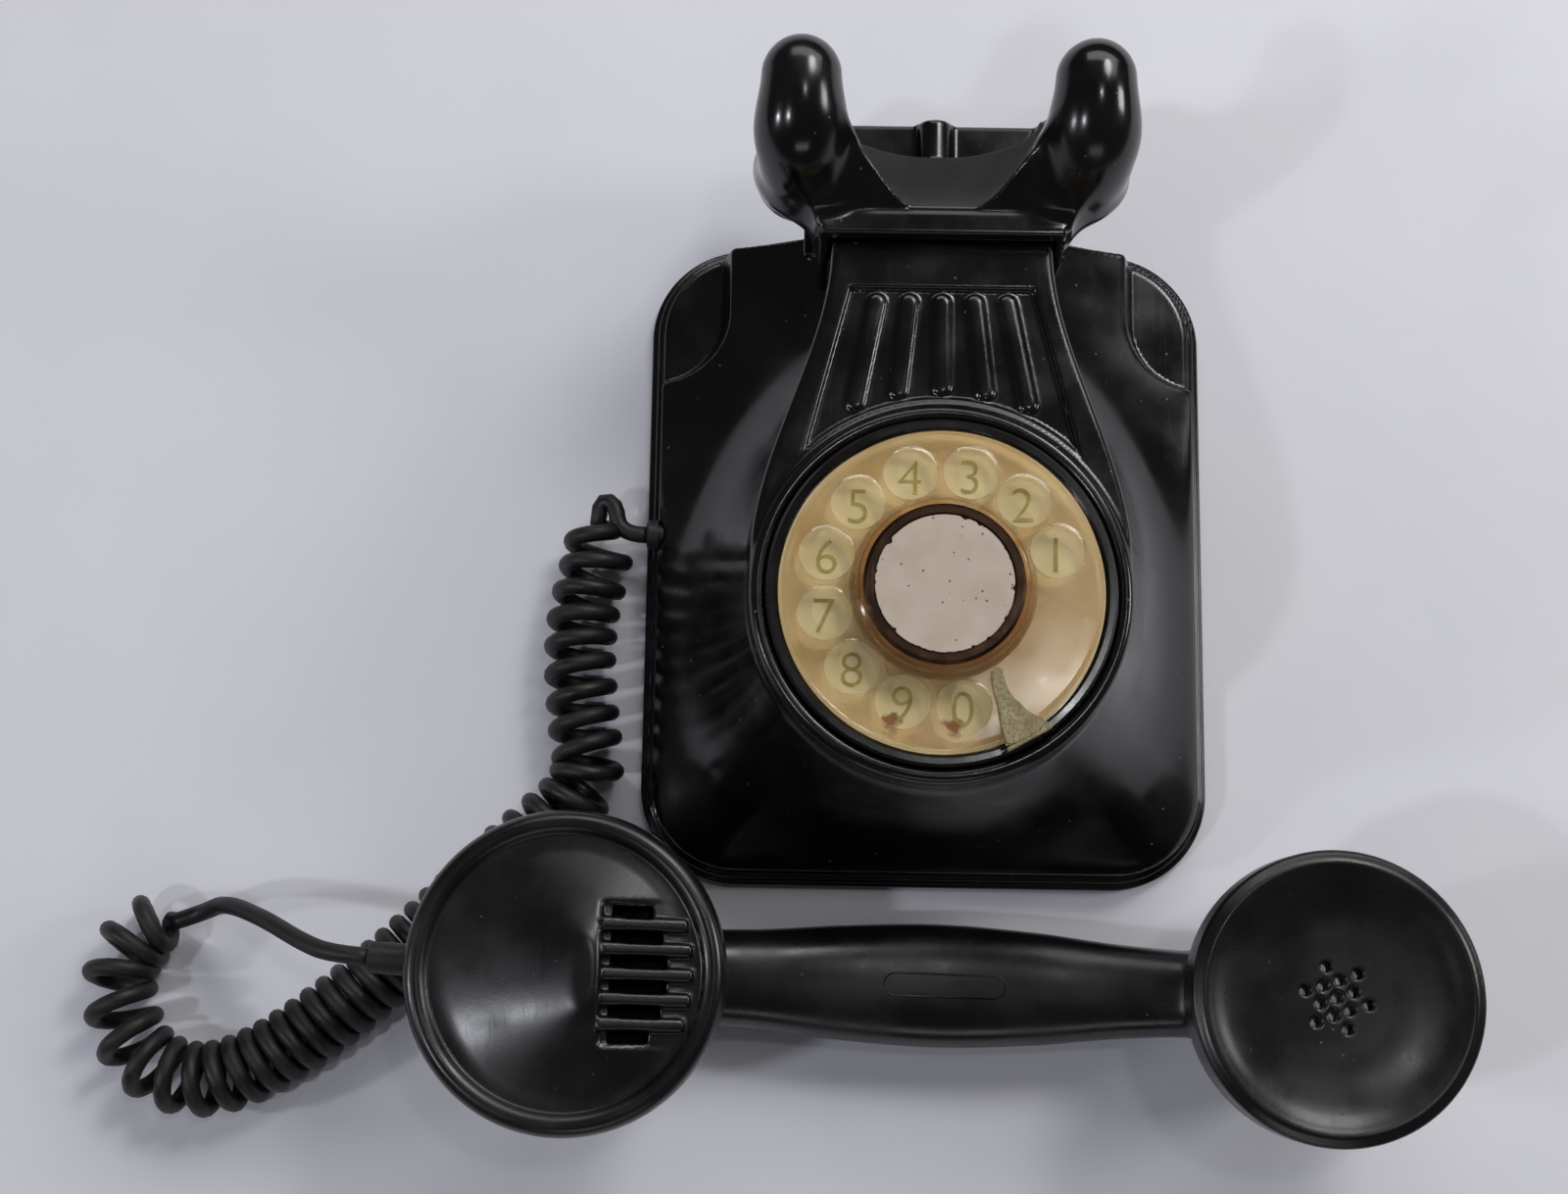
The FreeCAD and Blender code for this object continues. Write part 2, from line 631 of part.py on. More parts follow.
def gear_shape(teeth, module, bore, bottom, thickness, first_tooth):
    """A spur gear with straight-sided teeth, a little slack, and one tooth in a given direction."""
    pitch = teeth * module / 2
    step = 360 / teeth
    corners = []
    for index in range(teeth):
        middle = first_tooth + index * step
        for share, radius in ((-0.27, pitch - module), (-0.12, pitch + 0.8 * module)):
            corners.append(direction(middle + share * step) * radius)
        for share, radius in ((0.12, pitch + 0.8 * module), (0.27, pitch - module)):
            corners.append(direction(middle + share * step) * radius)
    solid = Part.Face(Part.makePolygon(corners + corners[:1])).extrude(Vector(0, 0, thickness))
    solid.translate(Vector(0, 0, bottom))
    return solid.cut(Part.makeCylinder(bore, thickness, Vector(0, 0, bottom)))


def ring_points(centre, across, upwards, half_across, half_up, squareness):
    """Points of a closed oval section; a squareness over two makes its sides flatter."""
    points = []
    for index in range(8):
        angle = math.pi * index / 4
        cosine = math.cos(angle)
        sine = math.sin(angle)
        x = half_across * math.copysign(abs(cosine) ** (2 / squareness), cosine)
        y = half_up * math.copysign(abs(sine) ** (2 / squareness), sine)
        points.append(centre + across * x + upwards * y)
    return points


def oval(centre, across, upwards, half_across, half_up, squareness=2):
    points = ring_points(centre, across, upwards, half_across, half_up, squareness)
    along = (points[1] - points[-1]).normalize()
    return Part.Wire(bends(points + points[:1], along, along))


# Back plate and its screws

half_plate_x = "Sizes.base_width / 2 - Sizes.plate_inset - Sizes.plate_gap"
half_plate_y = "Sizes.base_height / 2 - Sizes.plate_inset - Sizes.plate_gap"
plate_holes = []
for x in (-1, 1):
    for y in (-1, 1):
        across = f"{x} * Sizes.wall_hole_x / 2"
        plate_holes.append((across, f"{y} * Sizes.wall_hole_y / 2", "Sizes.wall_hole_radius"))
        screw_radius = "Sizes.cover_screw_radius + Sizes.shaft_gap"
        plate_holes.append((f"{x} * Sizes.cover_screw_x", f"{y} * Sizes.cover_screw_y", screw_radius))
back_plate = slab(
    "back_plate",
    rectangle(half_plate_x, half_plate_y),
    "0",
    "Sizes.plate_thickness",
    plate_holes,
    "Sizes.base_corner - Sizes.plate_inset - Sizes.plate_gap",
)

shaped("housing", housing_shape())

screws = []
for x in (-1, 1):
    for y in (-1, 1):
        screw = turned(
            f"cover_screw_{len(screws) + 1}",
            [
                ("0", "0"),
                ("Sizes.cover_screw_radius", "0"),
                ("Sizes.cover_screw_radius", "Sizes.cover_screw_end"),
                ("0", "Sizes.cover_screw_end"),
            ],
            f"{x} * Sizes.cover_screw_x",
            f"{y} * Sizes.cover_screw_y",
            kept=False,
        )
        screws.append(screw)
group("cover_screws", screws)

# Dial: the case that sits in the housing, and what stays still in it

DIAL = "-Sizes.dial_drop"
lip_top = "Sizes.rim_height + 0.8"
floor_top = "Sizes.case_floor + Sizes.case_wall"
case_inside = "Sizes.case_radius - Sizes.case_wall"
case_recess = "Sizes.number_plate_radius + Sizes.piece_gap"
dial_case = turned(
    "dial_case",
    [
        ("Sizes.shaft_radius + Sizes.shaft_gap", "Sizes.case_floor"),
        ("Sizes.case_radius", "Sizes.case_floor"),
        ("Sizes.case_radius", "Sizes.seat_height"),
        ("Sizes.case_lip", "Sizes.seat_height"),
        ("Sizes.case_lip", f"{lip_top} - 0.7"),
        ("Sizes.case_lip - 0.7", lip_top),
        (f"{case_recess} + 0.6", lip_top),
        (case_recess, f"{lip_top} - 0.6"),
        (case_recess, "Sizes.plate_seat"),
        (case_inside, "Sizes.plate_seat"),
        (case_inside, floor_top),
        ("Sizes.shaft_radius + Sizes.shaft_gap", floor_top),
    ],
    y=DIAL,
)
number_plate = slab(
    "number_plate",
    "Sizes.number_plate_radius",
    "Sizes.plate_seat",
    "Sizes.number_plate_thickness",
    [("0", "0", "Sizes.shaft_radius + Sizes.piece_gap")],
)
move(number_plate, y=DIAL, z="Sizes.plate_seat")

frame_top = "Sizes.frame_height + Sizes.frame_thickness"
idler_reach = "Sizes.gear_module * (Sizes.main_teeth + Sizes.pinion_teeth) / 2"
idler_x = f"{idler_reach} * cos(Sizes.idler_direction * 1deg)"
idler_y = f"{idler_reach} * sin(Sizes.idler_direction * 1deg)"
IDLER_SHAFT = 1.5
idler_bore = f"{IDLER_SHAFT} + Sizes.shaft_gap"
drill(dial_case, [(idler_x, idler_y, idler_bore)])
dial_frame = slab(
    "dial_frame",
    "Sizes.frame_radius",
    "Sizes.frame_height",
    "Sizes.frame_thickness",
    [("0", "0", "2 + Sizes.shaft_gap"), (idler_x, idler_y, idler_bore)],
)
move(dial_frame, y=DIAL, z="Sizes.frame_height")
pillars = []
for angle in (45, 165, 300):
    pillars.append(
        cylinder(
            f"dial_pillar_{len(pillars) + 1}",
            "Sizes.pillar_radius",
            f"Sizes.case_floor - ({frame_top})",
            f"Sizes.pillar_circle * cos({angle}deg)",
            f"{DIAL} + Sizes.pillar_circle * sin({angle}deg)",
            frame_top,
        )
    )
group("dial_pillars", pillars)


def finger_stop_shape():
    """The brass finger stop: a blade over the wheel, hooked like a claw, and a leg down to the case."""
    wheel_top = size("wheel_bottom") + size("wheel_thickness")
    bottom = wheel_top + 0.5
    outer = size("case_lip") - 0.7
    inner = size("wheel_radius") + 0.9
    middle = size("stop_direction") - 2.5
    left = direction(middle - 8.5)
    right = direction(middle + 8.5)
    tip = direction(size("stop_direction") + 2.5) * size("stop_tip")
    blunt = direction(size("stop_direction") + 5) * (size("stop_tip") + 1)
    left_bend = direction(middle - 5.5) * (size("stop_tip") + 7)
    right_bend = direction(middle + 5.5) * (size("stop_tip") + 8)
    lift = Vector(0, 0, bottom)
    edges = bends([tip + lift, left_bend + lift, left * inner + lift])
    edges.append(Part.LineSegment(left * inner + lift, left * outer + lift).toShape())
    edges.append(Part.Arc(left * outer + lift, direction(middle) * outer + lift, right * outer + lift).toShape())
    edges.append(Part.LineSegment(right * outer + lift, right * inner + lift).toShape())
    edges += bends([right * inner + lift, right_bend + lift, blunt + lift])
    edges.append(Part.LineSegment(blunt + lift, tip + lift).toShape())
    blade = Part.Face(Part.Wire(edges)).extrude(Vector(0, 0, size("stop_thickness")))
    foot = size("rim_height") + 0.8
    height = bottom + size("stop_thickness") - foot
    leg = Part.makeCylinder(outer, height, Vector(0, 0, foot), Vector(0, 0, 1), 17)
    leg = leg.cut(Part.makeCylinder(inner, height, Vector(0, 0, foot)))
    leg.rotate(Vector(), Vector(0, 0, 1), middle - 8.5)
    solid = blade.fuse(leg).removeSplitter()
    solid.translate(Vector(0, DIAL_Y, 0))
    return solid


shaped("finger_stop", finger_stop_shape())


def spiral_shape():
    """The dial's return spring: a flat ribbon wound in a spiral under the case."""
    turns = 3
    inner = size("shaft_radius") + 1
    pitch = 2.6
    per_turn = 12
    outside = []
    inside = []
    for index in range(turns * per_turn + 1):
        angle = 360 * index / per_turn
        radius = inner + pitch * index / per_turn
        outside.append(direction(angle) * (radius + 0.5))
        inside.append(direction(angle) * radius)
    corners = outside + inside[::-1]
    ribbon = Part.Face(Part.makePolygon(corners + corners[:1])).extrude(Vector(0, 0, 1.8))
    ribbon.translate(Vector(0, DIAL_Y, size("case_floor") - 2.1))
    return ribbon


shaped("return_spring", spiral_shape())

# Dial: the rotor, which the finger turns

wheel_top = "Sizes.wheel_bottom + Sizes.wheel_thickness"
hub_top = f"{wheel_top} + Sizes.hub_height"
hub_inside = "Sizes.hub_top_radius - 1"
finger_wheel = turned(
    "finger_wheel",
    [
        ("Sizes.shaft_radius + Sizes.shaft_gap", "Sizes.wheel_bottom"),
        ("Sizes.wheel_radius", "Sizes.wheel_bottom"),
        ("Sizes.wheel_radius", f"{wheel_top} - Sizes.wheel_bevel"),
        ("Sizes.wheel_radius - Sizes.wheel_bevel", wheel_top),
        ("Sizes.hub_radius", wheel_top),
        ("Sizes.hub_top_radius + 0.4", f"{hub_top} - 0.4"),
        ("Sizes.hub_top_radius - 0.2", hub_top),
        (hub_inside, f"{hub_top} - 0.6"),
        (hub_inside, f"{wheel_top} - 0.4"),
        ("Sizes.shaft_radius + Sizes.shaft_gap", f"{wheel_top} - 0.4"),
    ],
    y=DIAL,
)
finger_holes = []
for index in range(10):
    angle = f"(Sizes.first_hole + {index} * Sizes.hole_step) * 1deg"
    across = f"Sizes.finger_circle * cos({angle})"
    finger_holes.append((across, f"Sizes.finger_circle * sin({angle})", "Sizes.finger_hole_radius"))
drill(finger_wheel, finger_holes)

holder_bottom = f"{hub_top} - 2.2"
card_bottom = f"{hub_top} + Sizes.card_rise - Sizes.card_thickness"
turned(
    "card_holder",
    [
        ("0", holder_bottom),
        (f"{hub_inside} - Sizes.shaft_gap", holder_bottom),
        (f"{hub_inside} - Sizes.shaft_gap", f"{hub_top} + 0.1"),
        (f"{hub_inside} - 0.8", f"{hub_top} + 0.6"),
        ("Sizes.card_radius + 0.1", f"{hub_top} + 0.6"),
        ("Sizes.card_radius + 0.1", card_bottom),
        ("0", card_bottom),
    ],
    y=DIAL,
)
dial_card = slab("dial_card", "Sizes.card_radius", card_bottom, "Sizes.card_thickness")
move(dial_card, y=DIAL, z=card_bottom)

flange_bottom = "Sizes.plate_seat + Sizes.number_plate_thickness + 0.5"
turned(
    "dial_shaft",
    [
        ("0", "Sizes.frame_height - 0.8"),
        ("2", "Sizes.frame_height - 0.8"),
        ("2", f"{frame_top} + 0.3"),
        ("Sizes.shaft_radius", f"{frame_top} + 0.3"),
        ("Sizes.shaft_radius", flange_bottom),
        ("9", flange_bottom),
        ("9", "Sizes.wheel_bottom"),
        ("Sizes.shaft_radius", "Sizes.wheel_bottom"),
        ("Sizes.shaft_radius", holder_bottom),
        ("0", holder_bottom),
    ],
    y=DIAL,
)
dial_centre = Vector(0, DIAL_Y, 0)
bored = size("shaft_radius") + size("shaft_gap") / 2
main_gear = gear_shape(
    int(size("main_teeth")),
    size("gear_module"),
    bored,
    size("gear_bottom"),
    size("gear_thickness"),
    size("idler_direction"),
)
main_gear.translate(dial_centre)
shaped("main_gear", main_gear)


def cam_shape():
    """The impulse cam: ten bumps over most of a turn."""
    corners = []
    for index in range(10):
        middle = 35 + 28 * index
        for offset, radius in ((-10, -1.4), (-4, 0), (4, 0), (10, -1.4)):
            corners.append(direction(middle + offset) * (size("cam_radius") + radius))
    solid = Part.Face(Part.makePolygon(corners + corners[:1])).extrude(Vector(0, 0, 1.4))
    solid = solid.cut(Part.makeCylinder(bored, 1.4))
    solid.translate(Vector(0, DIAL_Y, size("cam_bottom")))
    return solid


shaped("impulse_cam", cam_shape())

# Dial: the idler and the governor that brake the wheel on its way back

idler_place = dial_centre + direction(size("idler_direction")) * number(idler_reach)
axis_height = size("governor_axis")
pinion = gear_shape(
    int(size("pinion_teeth")),
    size("gear_module"),
    IDLER_SHAFT,
    size("gear_bottom") - 1,
    size("gear_thickness") + 2,
    size("idler_direction") + 180 + 180 / size("pinion_teeth"),
)
worm_wheel = gear_shape(20, size("worm_wheel_radius") / 10.8, IDLER_SHAFT, axis_height - 1.5, 3, 0)
spindle_bottom = Vector(0, 0, size("frame_height") - 0.5)
spindle_length = number(f"{floor_top} - 0.1") - spindle_bottom.z
spindle = Part.makeCylinder(IDLER_SHAFT, spindle_length, spindle_bottom)
collar_top = size("gear_bottom") - 1
collar = Part.makeCylinder(2.6, collar_top - axis_height - 1.5, Vector(0, 0, axis_height + 1.5))
idler = spindle.fuse([pinion, worm_wheel, collar])
idler.translate(idler_place)
shaped("idler_gear", idler)

tangent = direction(size("idler_direction") + 90)
worm_offset = size("worm_wheel_radius") + size("worm_radius") + 0.7
worm_place = idler_place - direction(size("idler_direction")) * worm_offset + Vector(0, 0, axis_height)


def along_spindle(profile):
    """A turned piece on the governor spindle, from (radius, place along the spindle)."""
    corners = [Vector(radius, 0, along) for radius, along in profile]
    solid = Part.Face(Part.makePolygon(corners + corners[:1])).revolve(Vector(), Vector(0, 0, 1), 360)
    solid.Placement = FreeCAD.Placement(worm_place, FreeCAD.Rotation(Vector(0, 0, 1), tangent))
    return solid


WORM = size("worm_radius")
threads = []
for index in range(4):
    along = -4 + 2 * index
    threads += [(WORM - 0.6, along), (WORM, along + 0.5), (WORM, along + 1.2), (WORM - 0.6, along + 1.7)]
governor_profile = [(0, -9), (1, -9), (1, -4.5), (WORM - 0.6, -4.5)] + threads
governor_profile += [(WORM - 0.6, 4.5), (1, 4.5), (1, 11), (3.2, 11), (3.2, 12.5), (1, 12.5), (1, 17), (0, 17)]
shaped("governor", along_spindle(governor_profile))
weights = []
for side in (-1, 1):
    half = along_spindle([(3.4, 12.8), (6.1, 12.8), (6.1, 16.8), (1.2, 16.8), (1.2, 12.8)])
    keep_side = Part.makeBox(30, 10, 30, Vector(-15, 0.6 if side > 0 else -10.6, -5))
    keep_side.Placement = half.Placement.multiply(keep_side.Placement)
    weights.append(half.common(keep_side))
shaped("governor_weights", Part.makeCompound(weights))
shaped("governor_cup", along_spindle([(1.4, 8.6), (7.3, 8.6), (7.3, 17.5), (6.6, 17.5), (6.6, 9.4), (1.4, 9.4)]))


def bracket_ear(along):
    """One bearing of the governor spindle, standing on the dial's frame plate."""
    base = number(frame_top)
    ear = Part.makeBox(8, axis_height + 3 - base, 1.5, Vector(-4, base - axis_height, along))
    ear = ear.cut(Part.makeCylinder(1 + size("shaft_gap"), 1.5, Vector(0, 0, along)))
    turn = FreeCAD.Matrix()
    turn.A11, turn.A21, turn.A31 = -tangent.y, tangent.x, 0
    turn.A12, turn.A22, turn.A32 = 0, 0, 1
    turn.A13, turn.A23, turn.A33 = tangent.x, tangent.y, 0
    ear.Placement = FreeCAD.Placement(worm_place, FreeCAD.Placement(turn).Rotation)
    return ear


shaped("governor_bracket", Part.makeCompound([bracket_ear(-8), bracket_ear(7.1)]))

# Dial: the impulse contacts beside the cam

contact_x = "Sizes.cam_radius + 1.2"
blades = []
insulators = []
for index in range(2):
    blade_x = f"{contact_x} + {2.2 * index}"
    blades.append(
        block(
            f"impulse_blade_{index + 1}",
            blade_x,
            f"{blade_x} + 0.4",
            f"{DIAL} - 3",
            f"{DIAL} + 18",
            "Sizes.cam_bottom - 1.2",
            "Sizes.cam_bottom + 1.8",
        )
    )
for index, (x0, x1) in enumerate(((-1.4, 0), (0.4, 2.2), (2.6, 4))):
    insulators.append(
        block(
            f"impulse_insulator_{index + 1}",
            f"{contact_x} + {x0}",
            f"{contact_x} + {x1}",
            f"{DIAL} + 10",
            f"{DIAL} + 18",
            frame_top,
            "Sizes.cam_bottom + 2",
        )
    )
group("impulse_contacts", blades)
group("impulse_insulators", insulators)

# Fork: the moulding that slides on the neck and carries the handset


def slanted(points, x0, x1):
    """A prism between two places along X, from an outline of (y, z)."""
    corners = [Vector(x0, y, z) for y, z in points]
    return Part.Face(Part.makePolygon(corners + corners[:1])).extrude(Vector(x1 - x0, 0, 0))


def cradle_section(x):
    """The fork's block at one place across: a trough in the middle, higher towards the horns."""
    under = size("neck_top") + size("fork_gap") + size("fork_travel") - 0.2
    bottom = size("fork_bottom")
    front = size("fork_front")
    band_top = bottom + size("fork_band")
    above_neck = size("front_height") + 2.8
    rear = size("fork_rear") + size("fork_rear_thickness")
    rise = min(max((abs(x) - 10) / 16, 0.0), 1.0)
    points = [(under, rear), (under, above_neck), (bottom, above_neck), (bottom, front), (band_top, front)]
    floor = [(72.4, 78), (74, 71), (76, 62), (80, 54), (87, 49.5), (96.5, 48), (97, rear)]
    side = [(86, 84), (86.5, 74), (88, 64), (91, 56), (96, 51), (101, 48), (101.5, rear)]
    for (y, z), (side_y, side_z) in zip(floor, side):
        points.append((y + (side_y - y) * rise, z + (side_z - z) * rise))
    corners = [Vector(x, y, z) for y, z in points]
    return Part.makePolygon(corners + corners[:1])


def horn_shape(side):
    """A side bar of the fork and the horn that it turns up into, along a bent path."""
    radius = size("horn_radius")
    x = side * size("horn_x")
    tip = size("horn_tip")
    rear = size("fork_rear")
    stations = [
        (82, rear + 0.5, 0, radius - 0.8, radius - 0.8),
        (82, rear + 5, 0, radius, radius),
        (82, 66, 0, radius, radius),
        (82.5, 80, 20, radius, radius),
        (86, 88, 55, radius, radius - 0.7),
        (93, 92.2, 80, radius - 0.1, radius - 2.1),
        (tip - 5, 93.7, 90, radius - 1.1, radius - 3.5),
        (tip, 94.2, 90, radius - 4.2, radius - 5.8),
    ]
    sections = []
    for y, z, tilt, half_across, half_through in stations:
        lean = Vector(0, math.cos(math.radians(tilt)), -math.sin(math.radians(tilt)))
        sections.append(oval(Vector(x, y, z), Vector(1, 0, 0), lean, half_across, half_through))
    return Part.makeLoft(sections, True, False)


def fork_shape():
    """The fork: sleeve and skirts round the neck, saddle, side bars with horns, rear wall, boss and ears."""
    half = size("fork_half")
    trough = [cradle_section(x) for x in (-half, -26, -10, 10, 26, half)]
    pieces = [Part.makeLoft(trough, True, True)]
    rear = size("fork_rear")
    wall_front = rear + size("fork_rear_thickness")
    front = size("fork_front")
    bottom = size("fork_bottom")
    inside = size("neck_half") + size("fork_gap")
    skirt = [(bottom - 4.6, wall_front + 1), (bottom - 4.6, 60), (bottom, front), (bottom + 5, front)]
    skirt.append((bottom + 5, wall_front + 1))
    top = size("fork_rear_top")
    back = [(bottom + 4.9, rear), (bottom + 4.9, wall_front), (top - 3.5, wall_front), (top, wall_front - 1.4)]
    back.append((top, rear))
    pieces.append(slanted(back, -33, 33))
    boss = Part.makeCylinder(4.4, top - 89, Vector(0, 89, wall_front), Vector(0, 1, 0), 180)
    boss.rotate(Vector(0, 0, wall_front), Vector(0, 1, 0), -90)
    pieces.append(boss)
    ear = size("horn_radius") + 0.5
    for side in (-1, 1):
        pieces.append(slanted(skirt, side * inside, side * half))
        pieces.append(horn_shape(side))
        x = side * size("horn_x")
        low = Vector(x, 84, 0)
        high = Vector(x, size("ear_tip") - ear, 0)
        pieces.append(ease_top(pill(low, high, ear, rear + 1, 8), 1.5))
    solid = pieces[0].fuse(pieces[1:])
    for side in (-1, 1):
        place = Vector(side * size("rod_x"), bottom, size("rod_z"))
        depth = number(f"{ROD_END} - Sizes.fork_bottom + Sizes.shaft_gap")
        bore = size("rod_radius") + size("shaft_gap")
        solid = solid.cut(Part.makeCylinder(bore, depth, place, Vector(0, 1, 0)))
    return solid


ROD_END = "Sizes.fork_bottom + 9.4"
shaped("fork", fork_shape())
rods = []
rod_holes = []
for side in (-1, 1):
    rod_x = f"{side} * Sizes.rod_x"
    length = f"{ROD_END} - Sizes.yoke_y"
    name = f"fork_rod_{len(rods) + 1}"
    rods.append(cylinder(name, "Sizes.rod_radius", length, rod_x, "Sizes.yoke_y", "Sizes.rod_z", ALONG_Y))
    bore = "Sizes.rod_radius + Sizes.shaft_gap"
    name = f"yoke_bore_{len(rods)}"
    rod_holes.append(cylinder(name, bore, "Sizes.yoke_thickness", rod_x, "Sizes.yoke_y", "Sizes.rod_z", ALONG_Y))
group("fork_rods", rods)
yoke_bar = block(
    "yoke_bar",
    "-Sizes.rod_x - 6",
    "Sizes.rod_x + 6",
    "Sizes.yoke_y",
    "Sizes.yoke_y + Sizes.yoke_thickness",
    "Sizes.rod_z - 4",
    "Sizes.rod_z + 4",
)
keep(cut("fork_yoke_cut", yoke_bar, rod_holes), "fork_yoke")

# Hook switch: bracket, lever and contacts under the fork

plate_top = "Sizes.plate_thickness"
web_back = "Sizes.web_y + Sizes.web_thickness"
pin_bore = "Sizes.lever_pin_radius + Sizes.shaft_gap"
cheek_pieces = []
for side in (-1, 1):
    inner = "7" if side > 0 else "-7 - Sizes.web_thickness"
    outer = "7 + Sizes.web_thickness" if side > 0 else "-7"
    top = "Sizes.lever_axis_z + 5"
    cheek_pieces.append(
        block(f"cheek_{len(cheek_pieces) + 1}", inner, outer, web_back, "Sizes.lever_axis_y + 4", f"{top} - 11", top)
    )
web = block("bracket_web", "-20", "20", "Sizes.web_y", web_back, plate_top, "48")
foot = block("bracket_foot", "-20", "20", "Sizes.web_y", "46", plate_top, f"{plate_top} + Sizes.web_thickness")
bracket = fused("bracket_whole", [web, foot] + cheek_pieces)
lever_hole = cylinder("bracket_bore", pin_bore, "30", "-15", "Sizes.lever_axis_y", "Sizes.lever_axis_z", ALONG_X)
keep(cut("bracket_cut", bracket, [lever_hole]), "switch_bracket")
keep(
    cylinder(
        "lever_pin",
        "Sizes.lever_pin_radius",
        "20",
        "-10",
        "Sizes.lever_axis_y",
        "Sizes.lever_axis_z",
        ALONG_X,
    ),
    "lever_pin",
)


def lever_shape():
    """The hook lever: a hub on its pin, an arm up to the yoke and a tail down to the contacts."""
    y = size("lever_axis_y")
    z = size("lever_axis_z")
    reach = size("yoke_y") - 0.4
    hub = Part.makeCylinder(3, 13.4, Vector(-6.7, y, z), Vector(1, 0, 0))
    arm = slanted([(y - 0.8, z), (y + 0.8, z), (reach - 0.2, z + 22.5), (reach - 1.8, z + 22.5)], -5, 5)
    nose = Part.makeCylinder(1, 10, Vector(-5, reach - 1, z + 22.5), Vector(1, 0, 0))
    tail = slanted([(y - 0.8, z - 12), (y + 0.8, z - 12), (y + 0.8, z), (y - 0.8, z)], -5, 5)
    bore = Part.makeCylinder(number(pin_bore), 14, Vector(-7, y, z), Vector(1, 0, 0))
    return hub.fuse([arm, nose, tail]).cut(bore).removeSplitter()


shaped("hook_lever", lever_shape())
contact_foot = f"{plate_top} + Sizes.web_thickness"
strips = []
spacers = []
for index in range(3):
    strip_y = f"Sizes.lever_axis_y + 3.2 + {2.2 * index}"
    name = f"hook_strip_{index + 1}"
    strips.append(block(name, "-3", "3", strip_y, f"{strip_y} + 0.4", contact_foot, "Sizes.lever_axis_z - 4"))
for index in range(4):
    spacer_y = f"Sizes.lever_axis_y + 1.4 + {2.2 * index}"
    name = f"hook_spacer_{index + 1}"
    spacers.append(block(name, "-5", "5", spacer_y, f"{spacer_y} + 1.8", contact_foot, "13"))
group("hook_contacts", strips)
group("hook_insulators", spacers)

# Ringer: two gongs, coils, armature and clapper

gong_top = "Sizes.gong_mouth + Sizes.gong_depth"
gong_under = f"{gong_top} - Sizes.gong_wall"
STUD = "2"
gongs = []
posts = []
gong_screws = []
for side in (-1, 1):
    place = {"x": f"{side} * Sizes.gong_x", "y": "-Sizes.gong_y", "kept": False}
    index = len(gongs) + 1
    bore = f"{STUD} + Sizes.shaft_gap"
    bowl = [
        (bore, gong_under),
        ("0.43 * Sizes.gong_radius", gong_under),
        ("0.78 * Sizes.gong_radius", f"{gong_top} - 3.6"),
        ("Sizes.gong_radius - Sizes.gong_wall", "Sizes.gong_mouth + 2"),
        ("Sizes.gong_radius - Sizes.gong_wall", "Sizes.gong_mouth"),
        ("Sizes.gong_radius", "Sizes.gong_mouth"),
        ("Sizes.gong_radius", "Sizes.gong_mouth + 2.4"),
        ("0.82 * Sizes.gong_radius", f"{gong_top} - 2.4"),
        ("0.45 * Sizes.gong_radius", gong_top),
        (bore, gong_top),
    ]
    gongs.append(turned(f"gong_{index}", bowl, **place))
    post = [("0", plate_top), ("4", plate_top), ("4", gong_under), (STUD, gong_under), (STUD, gong_top), ("0", gong_top)]
    posts.append(turned(f"gong_post_{index}", post, **place))
    head = [("0", gong_top), ("4", gong_top), ("4", f"{gong_top} + 1.2"), ("3", f"{gong_top} + 2")]
    gong_screws.append(turned(f"gong_screw_{index}", head + [("0", f"{gong_top} + 2")], **place))
group("gongs", gongs)
group("gong_posts", posts)
group("gong_screws", gong_screws)

coil_front = "-Sizes.armature_y + 4.7"
coil_back = f"{coil_front} + Sizes.coil_length"
bobbins = []
for side in (-1, 1):
    bobbin = [
        ("0", "0"),
        ("2.5", "0"),
        ("2.5", "0.6"),
        ("Sizes.coil_radius", "0.6"),
        ("Sizes.coil_radius", "1.8"),
        ("Sizes.coil_radius - 1", "1.8"),
        ("Sizes.coil_radius - 1", "Sizes.coil_length - 1.2"),
        ("Sizes.coil_radius", "Sizes.coil_length - 1.2"),
        ("Sizes.coil_radius", "Sizes.coil_length"),
        ("0", "Sizes.coil_length"),
    ]
    name = f"ringer_coil_{len(bobbins) + 1}"
    bobbins.append(turned(name, bobbin, f"{side} * Sizes.coil_x", coil_front, "Sizes.coil_z", ALONG_Y, kept=False))
group("ringer_coils", bobbins)
bed = block("ringer_bed", "-20", "20", "-Sizes.armature_y - 3", f"{coil_back} + 1.5", plate_top, f"{plate_top} + 1.5")
yoke = block("ringer_yoke", "-20", "20", coil_back, f"{coil_back} + 1.5", plate_top, "Sizes.coil_z + Sizes.coil_radius")
keep(fused("ringer_iron", [bed, yoke]), "ringer_frame")
PIVOT = "1.5"
pivot_foot = f"{plate_top} + 1.5"
pin_length = f"Sizes.coil_z + 5 - ({pivot_foot})"
keep(cylinder("pivot", PIVOT, pin_length, "0", "-Sizes.armature_y", pivot_foot), "armature_pin")


def armature_shape():
    """The armature: a bar in front of the coils, with the clapper's rod and ball."""
    y = -size("armature_y")
    z = size("coil_z")
    bar = Part.makeBox(33, 2.8, 6, Vector(-16.5, y - 1.4, z - 3))
    hub = Part.makeCylinder(3, 6, Vector(0, y, z - 3))
    ball_y = 4 - size("gong_y")
    rod = Part.makeCylinder(0.9, y - ball_y, Vector(0, ball_y, z), Vector(0, 1, 0))
    ball = Part.makeSphere(3.4, Vector(0, ball_y, z))
    bore = Part.makeCylinder(float(PIVOT) + size("shaft_gap"), 10, Vector(0, y, z - 5))
    return bar.fuse([hub, rod, ball]).cut(bore).removeSplitter()


shaped("clapper", armature_shape())

# Network: induction coil, capacitor and terminals

network_y = "Sizes.base_height / 2 - 57"

